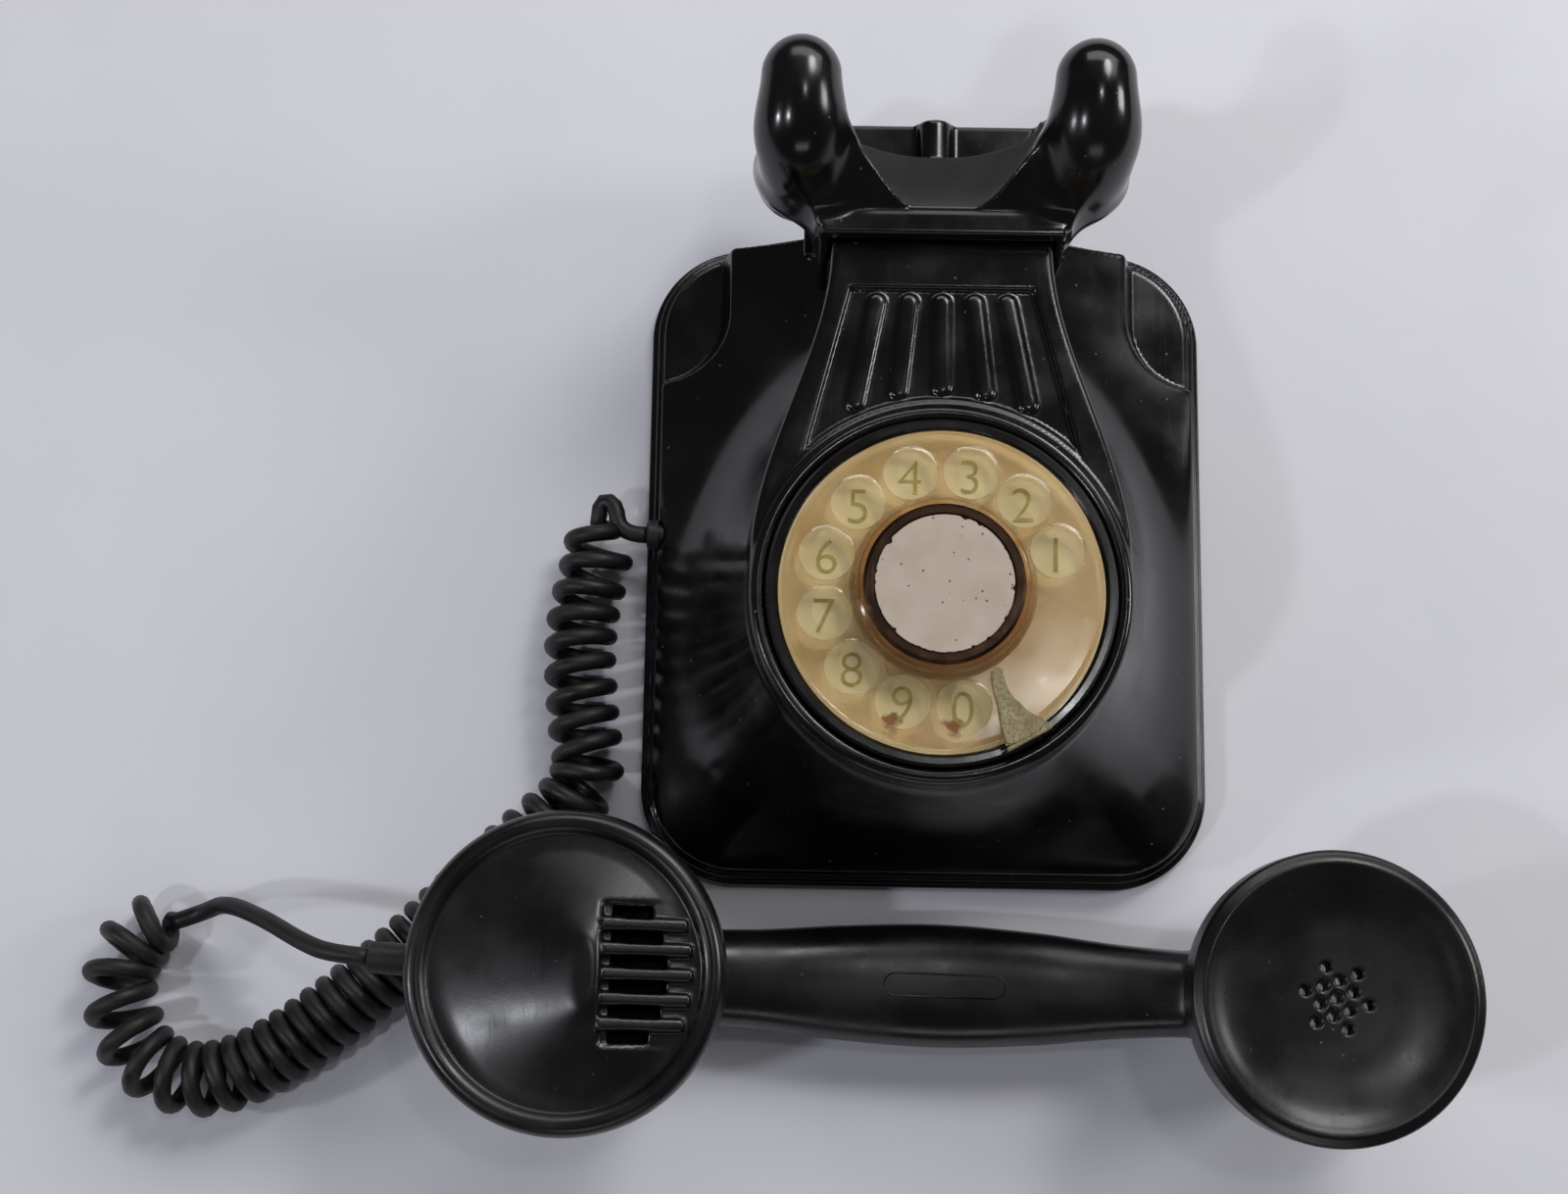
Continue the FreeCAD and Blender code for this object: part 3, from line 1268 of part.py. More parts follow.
def induction_shapes():
    """The induction coil's iron core, and the winding round its middle leg."""
    base = size("plate_thickness")
    y = number(network_y)
    core = Part.makeBox(20, 24, 11, Vector(-42, y, base))
    gap = size("shaft_gap")
    windows = [Part.makeBox(4, 16, 20, Vector(x, y + 4, 0)) for x in (-38.5, -29.5)]
    windows.append(Part.makeBox(13, 16, 2.8 + base, Vector(-38.5, y + 4, 0)))
    core = core.cut(windows)
    winding = Part.makeBox(12.4, 15.6, 13, Vector(-38.2, y + 4.2, base + 0.3))
    upright = [edge for edge in winding.Edges if abs(edge.tangentAt(0).y) > 0.9]
    winding = winding.makeFillet(1.5, upright)
    leg = Part.makeBox(5 + 2 * gap, 20, 8.2 + 2 * gap, Vector(-34.5 - gap, y + 2, base + 2.8 - gap))
    return core, winding.cut(leg)


iron, copper = induction_shapes()
shaped("induction_core", iron)
shaped("induction_winding", copper)
can = {"x": "32", "z": f"{plate_top} + 9.6"}
keep(cylinder("can", "9", "32", y=f"{network_y} - 6", rotation=ALONG_Y, **can), "capacitor")


def clamp_shape():
    """The strap that holds the capacitor, with its foot on the back plate."""
    base = size("plate_thickness")
    y = number(network_y) + 6
    ring = Part.makeCylinder(10, 8, Vector(32, y, base + 9.6), Vector(0, 1, 0))
    ring = ring.common(Part.makeBox(30, 10, 30, Vector(17, y - 1, base)))
    foot = Part.makeBox(14, 8, 1.5, Vector(32, y, base))
    can_bore = Part.makeCylinder(9 + size("shaft_gap"), 10, Vector(32, y - 1, base + 9.6), Vector(0, 1, 0))
    return ring.fuse(foot).cut(can_bore).removeSplitter()


shaped("capacitor_clamp", clamp_shape())
block_top = f"{plate_top} + 8.4"
terminal_y = "Sizes.base_height / 2 - 20"
strip_block = block("terminal_body", "-24", "24", f"{terminal_y} - 7", f"{terminal_y} + 7", plate_top, block_top)
screw_holes = []
terminals = []
for index in range(6):
    x = f"{-20 + 8 * index}"
    hole_name = f"terminal_hole_{index + 1}"
    screw_holes.append(cylinder(hole_name, "1.5 + Sizes.shaft_gap", "7", x, terminal_y, f"{block_top} - 6.5"))
    screw = [("0", "-6"), ("1.5", "-6"), ("1.5", "0"), ("3", "0"), ("3", "1.3"), ("2.5", "1.8"), ("0", "1.8")]
    terminals.append(turned(f"terminal_screw_{index + 1}", screw, x, terminal_y, block_top, kept=False))
keep(cut("terminal_cut", strip_block, screw_holes), "terminal_block")
group("terminal_screws", terminals)

# Housing gland: the rubber sleeve where the cord leaves

outer_wall = "Sizes.base_width / 2 - 2 * Sizes.flange_inset"
COLLAR = 3
gland = turned(
    "housing_gland",
    [
        ("0", "-Sizes.wall - 0.6"),
        ("2.9", "-Sizes.wall - 0.6"),
        ("2.9", "0"),
        ("3.9", "0"),
        ("3.9", f"{COLLAR} - 0.6"),
        ("3.3", f"{COLLAR}"),
        ("0", f"{COLLAR}"),
    ],
)
move(gland, f"-({outer_wall})", "Sizes.cord_exit_y", "Sizes.cord_exit_z", (Vector(0, 1, 0), -90))

# Handset, built along its own length and then laid beside the housing


def laid(shape):
    """Turns and moves a handset shape from its own middle to its place."""
    shape.rotate(Vector(), Vector(0, 0, 1), size("handset_turn"))
    shape.translate(Vector(size("handset_x"), size("handset_y"), 0))
    return shape


def about(profile, u):
    """A turned shape about a cup's upright axis, from (radius, height)."""
    corners = [Vector(radius, 0, height) for radius, height in profile]
    solid = Part.Face(Part.makePolygon(corners + corners[:1])).revolve(Vector(), Vector(0, 0, 1), 360)
    solid.translate(Vector(u, 0, 0))
    return solid


HALF = size("cup_distance") / 2
GLAND_TURN = 177.5
GLAND_HEIGHT = 42
CUP = size("cup_wall")
seat = size("cap_face") - size("cap_height")
ledge = seat - 6
mouth_neck = size("mouth_radius") - 4.5
ear_neck = size("ear_radius") - 4.5


def handset_shape():
    """The handset moulding: an oval grip that swells in the middle, and two hollow cups."""
    width = size("grip_width") / 2
    half_up = size("grip_thickness") / 2
    stations = [
        (-HALF + 8, 21, 12.5, 14),
        (-62, 17.6, 12, 13.2),
        (-46, 14, 12.4, 12.6),
        (-24, 11.4, 14.2, 11.2),
        (0, half_up, width, half_up),
        (24, 11.2, 14, 11),
        (46, 12.6, 11.6, 11.4),
        (62, 15.4, 10.6, 11.8),
        (HALF - 8, 19.5, 11, 12.5),
    ]
    sections = []
    for u, middle, across, upwards in stations:
        sections.append(oval(Vector(u, 0, middle), Vector(0, 1, 0), Vector(0, 0, 1), across, upwards, 2.3))
    grip = Part.makeLoft(sections, True, True)
    mouth = [(0, 3), (12, 3), (15, 4.5), (24, 19), (31, 35), (35, seat - 2), (35.2, seat), (mouth_neck, seat)]
    mouth += [(mouth_neck, seat + 6), (0, seat + 6)]
    ear = [(0, 7), (12, 7), (15.5, 8.6), (24, 25), (29, 38), (31.6, seat - 2), (31.7, seat), (ear_neck, seat)]
    ear += [(ear_neck, seat + 6), (0, seat + 6)]
    solid = grip.fuse([about(mouth, -HALF), about(ear, HALF)])
    inner = mouth_neck - CUP
    mouth_hollow = [(0, 8), (10, 8), (21, 20.5), (27, 36), (27, ledge), (inner, ledge), (inner, 70), (0, 70)]
    inner = ear_neck - CUP
    ear_hollow = [(0, 12), (10, 12), (20.5, 26), (24, 38), (24, ledge), (inner, ledge), (inner, 70), (0, 70)]
    channel = Part.makeCylinder(2.55, 2 * HALF - 22, Vector(11 - HALF, 0, 14), Vector(1, 0, 0))
    outlet = direction(GLAND_TURN)
    axis = Vector(-HALF, 0, GLAND_HEIGHT)
    outlet_bore = Part.makeCylinder(2.95, 12, axis + outlet * 25, outlet)
    middle_top = 2 * half_up
    cartouche = pill(Vector(-10.7, 0, 0), Vector(13.7, 0, 0), 2.8, middle_top - 0.6, 5)
    return solid.cut([about(mouth_hollow, -HALF), about(ear_hollow, HALF), channel, outlet_bore, cartouche])


shaped("handset_body", laid(handset_shape()))


def mouth_cap_shape():
    """The mouth cap: beaded rim, a leaning cone cut off by a step, and the comb of slots and bars."""
    radius = size("mouth_radius")
    inner = mouth_neck + size("shaft_gap")
    face = size("cap_face")
    bead = size("bead_radius")
    plate = face - 1.6
    profile = [(inner, seat), (radius - 0.5, seat), (radius, seat + 0.5), (radius, face - 3.2)]
    profile += [(radius - 0.6, face - 1.2), (radius - 2, face), (radius - 3.6, face), (radius - 4.9, face - 1.2)]
    profile += [(bead + 0.2, face - 0.8), (bead - 1.2, face - 0.8), (bead - 2, plate)]
    profile += [(0, plate), (0, seat + 6.6), (inner, seat + 6.6)]
    cap = about(profile, 0)
    flat = [Vector(1, 0, 0), Vector(0, 1, 0)]
    foot = oval(Vector(0, 0, plate - 0.1), *flat, bead - 2.1, bead - 2.1)
    ridge = oval(Vector(size("comb_rise"), 0, face + size("comb_rise")), *flat, 1.6, 7)
    cone = Part.makeLoft([foot, ridge], True, True)
    half = size("comb_half")
    step = size("comb_step")
    cone = cone.cut(Part.makeBox(40, 2 * half, 20, Vector(step, -half, plate)))
    bars = []
    slots = []
    bar_half = (size("slot_pitch") - size("slot_width")) / 2
    for index in range(5):
        v = (index - 2) * size("slot_pitch")
        reach = 27 - 1.2 * abs(index - 2)
        corners = [(step, plate), (reach, plate), (reach - 2, plate + 0.9), (step, face + 3.6)]
        points = [Vector(u, v - bar_half, z) for u, z in corners]
        bars.append(Part.Face(Part.makePolygon(points + points[:1])).extrude(Vector(0, 2 * bar_half, 0)))
    for index in range(6):
        v = (index - 2.5) * size("slot_pitch") - size("slot_width") / 2
        slots.append(Part.makeBox(23.5 - step, size("slot_width"), 10, Vector(step + 1.4, v, seat)))
    cap = cap.fuse([cone] + bars).cut(slots).removeSplitter()
    cap.translate(Vector(-HALF, 0, 0))
    return cap


shaped("mouth_cap", laid(mouth_cap_shape()))


def ear_cap_shape():
    """The ear cap: rounded rim, shallow dish and thirteen sound holes."""
    radius = size("ear_radius")
    inner = ear_neck + size("shaft_gap")
    face = size("cap_face")
    profile = [(inner, seat), (radius - 0.5, seat), (radius, seat + 0.5), (radius, face - 3.4)]
    profile += [(radius - 0.7, face - 1.2), (radius - 2.4, face), (radius - 4.5, face - 0.3), (radius - 9, face - 2)]
    profile += [(12, face - 3.2), (0, face - 3.6), (0, seat + 6.6), (inner, seat + 6.6)]
    cap = about(profile, 0)
    holes = [Vector()]
    for circle_radius, first in ((4.1, 19), (7.4, 49)):
        holes += [direction(first + 60 * index) * circle_radius for index in range(6)]
    tools = [Part.makeCylinder(size("sound_hole_radius"), 20, hole + Vector(0, 0, seat)) for hole in holes]
    cap = cap.cut(tools)
    cap.translate(Vector(HALF, 0, 0))
    return cap


shaped("ear_cap", laid(ear_cap_shape()))


def capsule(neck, u):
    """A round capsule on its ledge under a cap, with a raised front."""
    radius = neck - CUP - size("shaft_gap")
    profile = [(0, ledge), (radius, ledge), (radius, seat + 3), (radius - 3, seat + 4), (0, seat + 4)]
    return laid(about(profile, u))


shaped("transmitter", capsule(mouth_neck, -HALF))
shaped("receiver", capsule(ear_neck, HALF))


def contact_pegs(u, floor):
    """Two spring pegs from the bottom of a cup to the back of its capsule."""
    pegs = [Part.makeCylinder(1.8, ledge - floor, Vector(u + offset, 0, floor)) for offset in (-6, 6)]
    return laid(Part.makeCompound(pegs))


shaped("transmitter_pegs", contact_pegs(-HALF, 8))
shaped("receiver_pegs", contact_pegs(HALF, 12))
wire_length = 2 * HALF - 26
wires = Part.makeCylinder(2.5, wire_length, Vector(-wire_length / 2, 0, 14), Vector(1, 0, 0))
shaped("handset_wires", laid(wires))


def handset_gland_shape():
    """The sleeve on the mouth cup that the cord runs into."""
    corners = [(0, 27.5), (2.9, 27.5), (2.9, 34.8), (3.8, 34.8), (3.8, 48), (3.2, 48.6), (0, 48.6)]
    points = [Vector(radius, 0, along) for radius, along in corners]
    solid = Part.Face(Part.makePolygon(points + points[:1])).revolve(Vector(), Vector(0, 0, 1), 360)
    outlet = direction(GLAND_TURN)
    solid.Placement = FreeCAD.Placement(Vector(-HALF, 0, GLAND_HEIGHT), FreeCAD.Rotation(Vector(0, 0, 1), outlet))
    return solid


shaped("handset_gland", laid(handset_gland_shape()))

# Cord: a fat tube stands for the curly part, thin tubes for its two tails


def tube(points, radius):
    """A round tube along straight runs joined by tangent arcs."""
    runs = [(end - start) for start, end in zip(points, points[1:])]
    place = points[0]
    length = 0
    pieces = []
    for index in range(1, len(points) - 1):
        before = Vector(runs[index - 1]).normalize()
        after = Vector(runs[index]).normalize()
        half_turn = before.getAngle(after) / 2
        reach = 0.45 * min(runs[index - 1].Length, runs[index].Length)
        print(f"bend of {math.degrees(2 * half_turn):.0f} degrees, radius {reach / math.tan(half_turn):.1f}")
        bend_radius = reach / math.tan(half_turn)
        start = points[index] - before * reach
        inwards = (after - before).normalize()
        centre = points[index] + inwards * (bend_radius / math.cos(half_turn))
        pieces.append(Part.makeCylinder(radius, (start - place).Length, place, before))
        disc = Part.Face(Part.Wire(Part.Circle(start, before, radius).toShape()))
        pieces.append(disc.revolve(centre, before.cross(after), math.degrees(2 * half_turn)))
        length += (start - place).Length + bend_radius * 2 * half_turn
        place = points[index] + after * reach
    pieces.append(Part.makeCylinder(radius, (points[-1] - place).Length, place, runs[-1]))
    length += (points[-1] - place).Length
    solid = pieces[0].fuse(pieces[1:]).removeSplitter()
    print(f"tube {solid.Volume:.0f} mm3 against {math.pi * radius**2 * length:.0f} mm3, {length:.0f} mm")
    return solid


low = size("coil_outer") + 0.2
exit_x = -number(f"{outer_wall} + {COLLAR}")
exit_y = size("cord_exit_y")
exit_height = size("cord_exit_z")
gland_end = Vector(-HALF, 0, GLAND_HEIGHT) + direction(GLAND_TURN) * 48.6
gland_mouth = laid(Part.Vertex(gland_end)).Point
before_gland = laid(Part.Vertex(gland_end + direction(GLAND_TURN) * 9)).Point


def from_exit(across, upwards, height):
    """A point of the cord given from its exit from the housing."""
    return Vector(exit_x + across, exit_y + upwards, height)


def from_gland(across, upwards, height):
    """A point of the cord given from the mouth of the handset's gland."""
    return Vector(gland_mouth.x + across, gland_mouth.y + upwards, height)


coil_start = from_exit(-15.4, -2.7, low)
coil_end = from_gland(-53.5, 9.2, low)
coil_route = [coil_start, from_exit(-15.4, -48.7, low), from_exit(-12.4, -65.7, low)]
for across, upwards in ((29, 27.2), (0, -2.8), (-38, -31.8), (-61, -28.8), (-70, -8.8), (-66, 4.7)):
    coil_route.append(from_gland(across, upwards, low))
coil_route.append(coil_end)
shaped("cord_coil", tube(coil_route, size("coil_outer")))
root = [from_exit(0, 0, exit_height), from_exit(-7.4, 0, exit_height), from_exit(-7.9, 8.8, 12)]
root += [from_exit(-15.4, 8.8, low), coil_start]
shaped("cord_root", tube(root, size("cord_radius")))
leaving = coil_end + (coil_end - coil_route[-2]).normalize() * 6
end_tail = [coil_end, leaving, from_gland(-41, 13.2, 18), from_gland(-29, 9.2, 28), from_gland(-17, 3.2, 37)]
end_tail += [before_gland, gland_mouth]
shaped("cord_end", tube(end_tail, size("cord_radius")))

doc.recompute()
for piece in doc.Objects:
    if "Invalid" in piece.State or "Error" in piece.State:
        raise RuntimeError(f"{piece.Label} failed: {piece.State}")
os.makedirs("parts", exist_ok=True)
for piece in NODES:
    if piece.Shape.isNull() or not piece.Shape.isValid() or not piece.Shape.Solids:
        raise RuntimeError(f"{piece.Label} has no valid solid")
    piece.Shape.exportStep(f"parts/{piece.Label}.step")
    print(f"{piece.Label}: {len(piece.Shape.Solids)} solids, {piece.Shape.Volume:.0f} mm3")
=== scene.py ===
# %% [markdown]
# # A wall telephone in black phenolic
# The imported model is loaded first. Its nodes are the frame: they carry the sizes and the joints, and every piece
# made here either gives one of them a finish or stands in its place. Lengths are written in millimetres and turned
# into metres by MM where Blender takes them.

# %% The frame
import math

import bmesh
import bpy
import numpy as np
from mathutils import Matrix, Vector, noise


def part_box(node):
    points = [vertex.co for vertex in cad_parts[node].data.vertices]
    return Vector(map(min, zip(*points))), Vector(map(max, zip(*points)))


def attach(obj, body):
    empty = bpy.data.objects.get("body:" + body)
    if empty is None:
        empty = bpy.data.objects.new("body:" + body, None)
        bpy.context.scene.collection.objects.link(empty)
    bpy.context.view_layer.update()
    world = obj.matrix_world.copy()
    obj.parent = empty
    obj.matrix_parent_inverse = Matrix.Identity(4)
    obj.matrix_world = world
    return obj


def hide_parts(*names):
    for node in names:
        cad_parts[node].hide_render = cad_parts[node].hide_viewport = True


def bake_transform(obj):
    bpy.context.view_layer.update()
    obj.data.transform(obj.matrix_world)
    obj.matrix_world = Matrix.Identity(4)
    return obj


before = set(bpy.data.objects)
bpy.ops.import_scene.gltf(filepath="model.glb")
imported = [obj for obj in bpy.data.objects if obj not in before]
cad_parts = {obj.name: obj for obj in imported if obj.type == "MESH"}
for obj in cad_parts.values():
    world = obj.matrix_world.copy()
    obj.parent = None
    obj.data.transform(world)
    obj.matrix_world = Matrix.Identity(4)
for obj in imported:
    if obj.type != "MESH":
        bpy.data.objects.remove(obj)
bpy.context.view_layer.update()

MM = 0.001
scene = bpy.context.scene
print("pieces in the frame:", len(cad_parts))

# %% [markdown]
# ## Camera
# The telephone lies on its back on a table and is seen from above, from a little below its lower edge. The camera
# could be moved by eye until the picture fits. It was worked out instead from points that could be measured both on
# the object and in the photograph: a 50 mm lens about 0.57 m away gives the same strong perspective, in which the
# horns and the mouth cap look large.

# %% The camera
camera_data = bpy.data.cameras.new("camera")
camera_data.lens = 50.0
camera_data.sensor_width = 36.0
camera = bpy.data.objects.new("camera", camera_data)
camera.location = (-0.03512, -0.11208, 0.56718)
camera.rotation_euler = (math.radians(10.3), 0.0, math.radians(0.9))
scene.collection.objects.link(camera)
scene.camera = camera
print("camera: %.0f mm lens, %.2f m above the table" % (camera_data.lens, camera.location.z))

# %% [markdown]
# ## Nodes and colours
# Every finish is a tree of shader nodes. It could be wired by hand in the editor, but written out it can be read and
# changed. People pick colours from a screen as hex codes, and a renderer mixes linear light, so one function turns
# the first into the second. One other function adds any node: an input may be given a number, a hex colour or the
# output of an earlier node, which makes a tree read like a sum.

# %% Colours and nodes
def linear(code):
    """The linear colour of an sRGB hex code."""
    values = [int(code[i:i + 2], 16) / 255 for i in (1, 3, 5)]
    return [v / 12.92 if v <= 0.04045 else ((v + 0.055) / 1.055) ** 2.4 for v in values] + [1.0]


def feed(tree, node, inputs):
    """Gives a node's inputs their numbers, hex colours or links."""
    for key, value in inputs.items():
        if isinstance(value, bpy.types.NodeSocket):
            tree.links.new(value, node.inputs[key])
        else:
            node.inputs[key].default_value = linear(value) if isinstance(value, str) else value


def add(tree, kind, inputs, output=None, **settings):
    """Adds one shader node and returns the output that is asked for, or the first one in use."""
    node = tree.nodes.new("ShaderNode" + kind)
    for key, value in settings.items():
        setattr(node, key, value)
    feed(tree, node, inputs)
    return node.outputs[output] if output else next(socket for socket in node.outputs if socket.enabled)


def start(name):
    """A new material: its tree, its shader, and coordinates in metres that stay with the piece."""
    made = bpy.data.materials.new(name)
    made.use_nodes = True
    tree = made.node_tree
    place = add(tree, "TexCoord", {}, output="Object")
    return made, tree, tree.nodes["Principled BSDF"], place


print("white is", linear("#FFFFFF"), "and mid grey", [round(v, 3) for v in linear("#808080")])

# %% [markdown]
# ## Patterns
# Three patterns come back in most finishes: a cloudy noise for uneven colour and gloss, specks for dust and pits,
# and long fine lines for wipe marks and for the lines that rolling and turning leave. Painted pictures could do the
# same, but noise needs no unwrapping and no file. Each pattern is given the real size of its grain in millimetres,
# and Blender's noise takes it as grains to a metre.

# %% Clouds, specks and scratches
PER_METRE = 1000


def cloud(tree, place, size, low, high, detail=3.0, frm=0.35, to=0.65):
    """Clouds of that size in millimetres, from low to high."""
    grain = add(tree, "TexNoise", {"Vector": place, "Scale": PER_METRE / size, "Detail": detail})
    return add(tree, "MapRange", {"Value": grain, "From Min": frm, "From Max": to, "To Min": low, "To Max": high})


def specks(tree, place, size, share):
    """Small round spots, one in each cell of that size in millimetres; share is their radius in cells."""
    cells = add(tree, "TexVoronoi", {"Vector": place, "Scale": PER_METRE / size})
    return add(
        tree, "MapRange",
        {"Value": cells, "From Min": share, "From Max": share + 0.05, "To Min": 1.0, "To Max": 0.0},
    )


def scratches(tree, place, width, turn, frm=0.62, to=0.68):
    """Long lines of about that width in millimetres, turned about Z. Only the tops of the noise show, so its grains
    are about three times as wide as the lines."""
    laid_out = add(
        tree, "Mapping", {"Vector": place, "Rotation": (0.0, 0.0, math.radians(turn)), "Scale": (1.0, 0.03, 1.0)}
    )
    grain = add(tree, "TexNoise", {"Vector": laid_out, "Scale": 0.3 * PER_METRE / width, "Detail": 1.0})
    return add(tree, "MapRange", {"Value": grain, "From Min": frm, "From Max": to, "To Min": 0.0, "To Max": 1.0})


print("a 5 mm cloud has a scale of", PER_METRE / 5)

# %% [markdown]
# ## Black phenolic
# The housing, fork, handset and caps are phenolic, filled with wood flour, coloured black and moulded hot. The mould
# leaves it glossy, with an IOR of about 1.56 and a roughness near 0.15. Decades of hands and dust make it satin in
# places, with faint brown clouds, fine wipe marks and pale specks, and that is what tells the eye that it is old.
# The wipe marks are drawn 0.3 mm wide, several times as coarse as real ones, so that they show at all.

# %% Phenolic
RGBA = {"data_type": "RGBA"}
FACTOR, FIRST, SECOND = 0, 6, 7  # the inputs of a Mix node that is set to colours


def phenolic(name, gloss, dull, dust, tones=("#0B0B0C", "#161312")):
    """Moulded phenolic, from its glossiest to its dullest roughness, with that much dust."""
    made, tree, shader, place = start(name)
    clouds = cloud(tree, place, 22.0, 0.0, 1.0, 5.0, 0.42, 0.72)
    body = add(tree, "Mix", {FACTOR: clouds, FIRST: tones[0], SECOND: tones[1]}, **RGBA)
    spread = cloud(tree, place, 9.0, 0.0, 1.0, 2.0, 0.5, 0.6)
    spots = add(tree, "Math", {0: specks(tree, place, 3.6, 0.05), 1: spread}, operation="MULTIPLY")
    dusty = add(tree, "Math", {0: spots, 1: dust}, operation="MULTIPLY")
    body = add(tree, "Mix", {FACTOR: dusty, FIRST: body, SECOND: "#6E655A"}, **RGBA)
    smear = cloud(tree, place, 14.0, gloss, dull, 6.0, 0.38, 0.7)
    wiped = add(tree, "Math", {0: scratches(tree, place, 0.3, 38.0), 1: 0.02}, operation="MULTIPLY")
    worn = add(tree, "Math", {0: smear, 1: wiped}, operation="ADD")
    matt = add(tree, "Math", {0: spots, 1: 0.4}, operation="MULTIPLY")
    worn = add(tree, "Math", {0: worn, 1: matt}, operation="ADD")
    waves, grit = cloud(tree, place, 5.0, 0.0, 0.7, 2.0, 0.0, 1.0), cloud(tree, place, 0.5, 0.0, 0.15)
    skin = add(tree, "Math", {0: waves, 1: grit}, operation="ADD")
    skin = add(tree, "Bump", {"Height": skin, "Strength": 0.35, "Distance": 0.05 * MM})
    feed(tree, shader, {"Base Color": body, "Roughness": worn, "Normal": skin, "IOR": 1.56})
    return made


# The housing and the fork: still glossy, so the lamps show in them as long sharp streaks.
black = phenolic("phenolic_moulded_black", 0.14, 0.27, 0.8)
# The handset and its caps: satin from hands, so the lamps spread over them.
dull_black = phenolic("phenolic_handled_black", 0.25, 0.38, 0.6)
# The saddle of the fork: rubbed matt and a little brown by the grip that lay in it.
rubbed_black = phenolic("phenolic_rubbed_black", 0.7, 0.82, 0.4, ("#110F0F", "#191514"))
print("phenolics:", black.name, dull_black.name, rubbed_black.name)

# %% [markdown]
# ## Metals
# Plated steel, soft iron, turned brass and pressed aluminium fill the inside. A metal keeps the default IOR here:
# its colour and its roughness say what it is, and fine turned or rolled lines in the bump say how it was made. One
# function makes them all, since they differ only in those.

# %% Metal
def metal(name, light, dark, smooth, rough, grain, turn=0.0, pits=0.0, tarnish=None):
    """Bare or plated metal in two tones, with lines of that grain in millimetres at that turn in degrees."""
    made, tree, shader, place = start(name)
    clouds = cloud(tree, place, 6.0, 0.0, 1.0, 4.0)
    tone = add(tree, "Mix", {FACTOR: clouds, FIRST: light, SECOND: dark}, **RGBA)
    if tarnish:
        spots = cloud(tree, place, 0.7, 0.0, 0.9, 6.0, 0.42, 0.62)
        tone = add(tree, "Mix", {FACTOR: spots, FIRST: tone, SECOND: tarnish}, **RGBA)
    gloss = cloud(tree, place, 3.0, smooth, rough, 5.0)
    lines = scratches(tree, place, grain, turn, 0.4, 0.7)
    if pits:
        eaten = add(tree, "Math", {0: cloud(tree, place, 0.45, 0.0, 1.0), 1: pits}, operation="MULTIPLY")
        lines = add(tree, "Math", {0: lines, 1: eaten}, operation="SUBTRACT")
    skin = add(tree, "Bump", {"Height": lines, "Strength": 0.5, "Distance": 0.03 * MM})
    feed(tree, shader, {"Metallic": 1.0, "Base Color": tone, "Roughness": gloss, "Normal": skin})
    return made


# %% [markdown]
# The finishes are kept in one table under short names. The frame's own materials carry the same names, so that each
# node can find its finish later. Roughness runs from the rubbed places of a metal to its dull ones.

# %% The metals of this telephone
finishes = {
    "phenolic": black,
    # Mild steel sheet, rolled, punched and plated with zinc: a bluish grey that has gone dull and warm.
    "steel": metal("steel_zinc_plated_rolled", "#C9C8C2", "#A9A69C", 0.28, 0.46, 0.2),
    # Spring steel strip, rolled bright: darker and glossier than the plated sheet.
    "spring_steel": metal("spring_steel_rolled", "#B3B1AB", "#8F8B82", 0.22, 0.38, 0.15, 90.0),
    # Soft iron, annealed: a dark scale, pitted and matt.
    "iron": metal("iron_annealed_scaled", "#8A8783", "#5F5B57", 0.4, 0.6, 0.4, 0.0, 0.4),
    # Brass rod, turned: warm yellow with fine rings.
    "brass": metal("brass_turned", "#D8B468", "#B08C48", 0.22, 0.4, 0.15),
    # Brass sheet, pressed and never polished: pale, spotted with grey-green tarnish half a millimetre to a
    # millimetre across.
    "stop_brass": metal("brass_pressed_tarnished", "#B3A687", "#94876A", 0.34, 0.5, 0.2, 50.0, 1.0, "#8C8262"),
    # Steel bells, spun and nickel plated: the brightest metal inside.
    "gong_metal": metal("gong_steel_nickel_plated", "#D2D0CA", "#B8B5AE", 0.14, 0.28, 0.2),
    # Aluminium cans, pressed: a pale and even grey.
    "can": metal("aluminium_pressed", "#D6D6D4", "#BDBDBA", 0.26, 0.4, 0.3),
    # The card's ring, blackened metal whose coat has worn brown.
    "card_metal": metal("card_ring_blackened", "#4A382C", "#372A22", 0.3, 0.5, 0.3, 0.0, 0.5),
}
print("metals:", ", ".join(key for key in finishes if key != "phenolic"))

# %% [markdown]
# ## Plastics, papers and rubbers
# The other finishes are brown laminate, varnished wire, the speckled card and black rubber. They differ in tone,
# in gloss and in how coarse and deep their grain is, so one function makes them all too. Their IOR starts at 1.5.

# %% A plain finish
def plain_finish(name, tones, size, smooth, rough, depth, grain, ior=1.5, spot=None):
    """Two tones in clouds of that size, a grain and its depth in millimetres, and spots of (colour, size, share)."""
    made, tree, shader, place = start(name)
    tone = add(
        tree, "Mix", {FACTOR: cloud(tree, place, size, 0.0, 1.0, 5.0), FIRST: tones[0], SECOND: tones[1]}, **RGBA
    )
    if spot:
        colour, apart, share = spot
        tone = add(tree, "Mix", {FACTOR: specks(tree, place, apart, share), FIRST: tone, SECOND: colour}, **RGBA)
    gloss = cloud(tree, place, size, smooth, rough, 5.0)
    height = cloud(tree, place, grain, 0.0, 1.0, 4.0, 0.3, 0.7)
    skin = add(tree, "Bump", {"Height": height, "Strength": 0.6, "Distance": depth * MM})
    feed(tree, shader, {"Base Color": tone, "Roughness": gloss, "Normal": skin, "IOR": ior})
    return made


# %% [markdown]
# None of these shows much in the photograph, apart from the card and the cord, so they are kept plain: the right
# tone, the right gloss, and a grain that is just coarse enough to be seen from near.

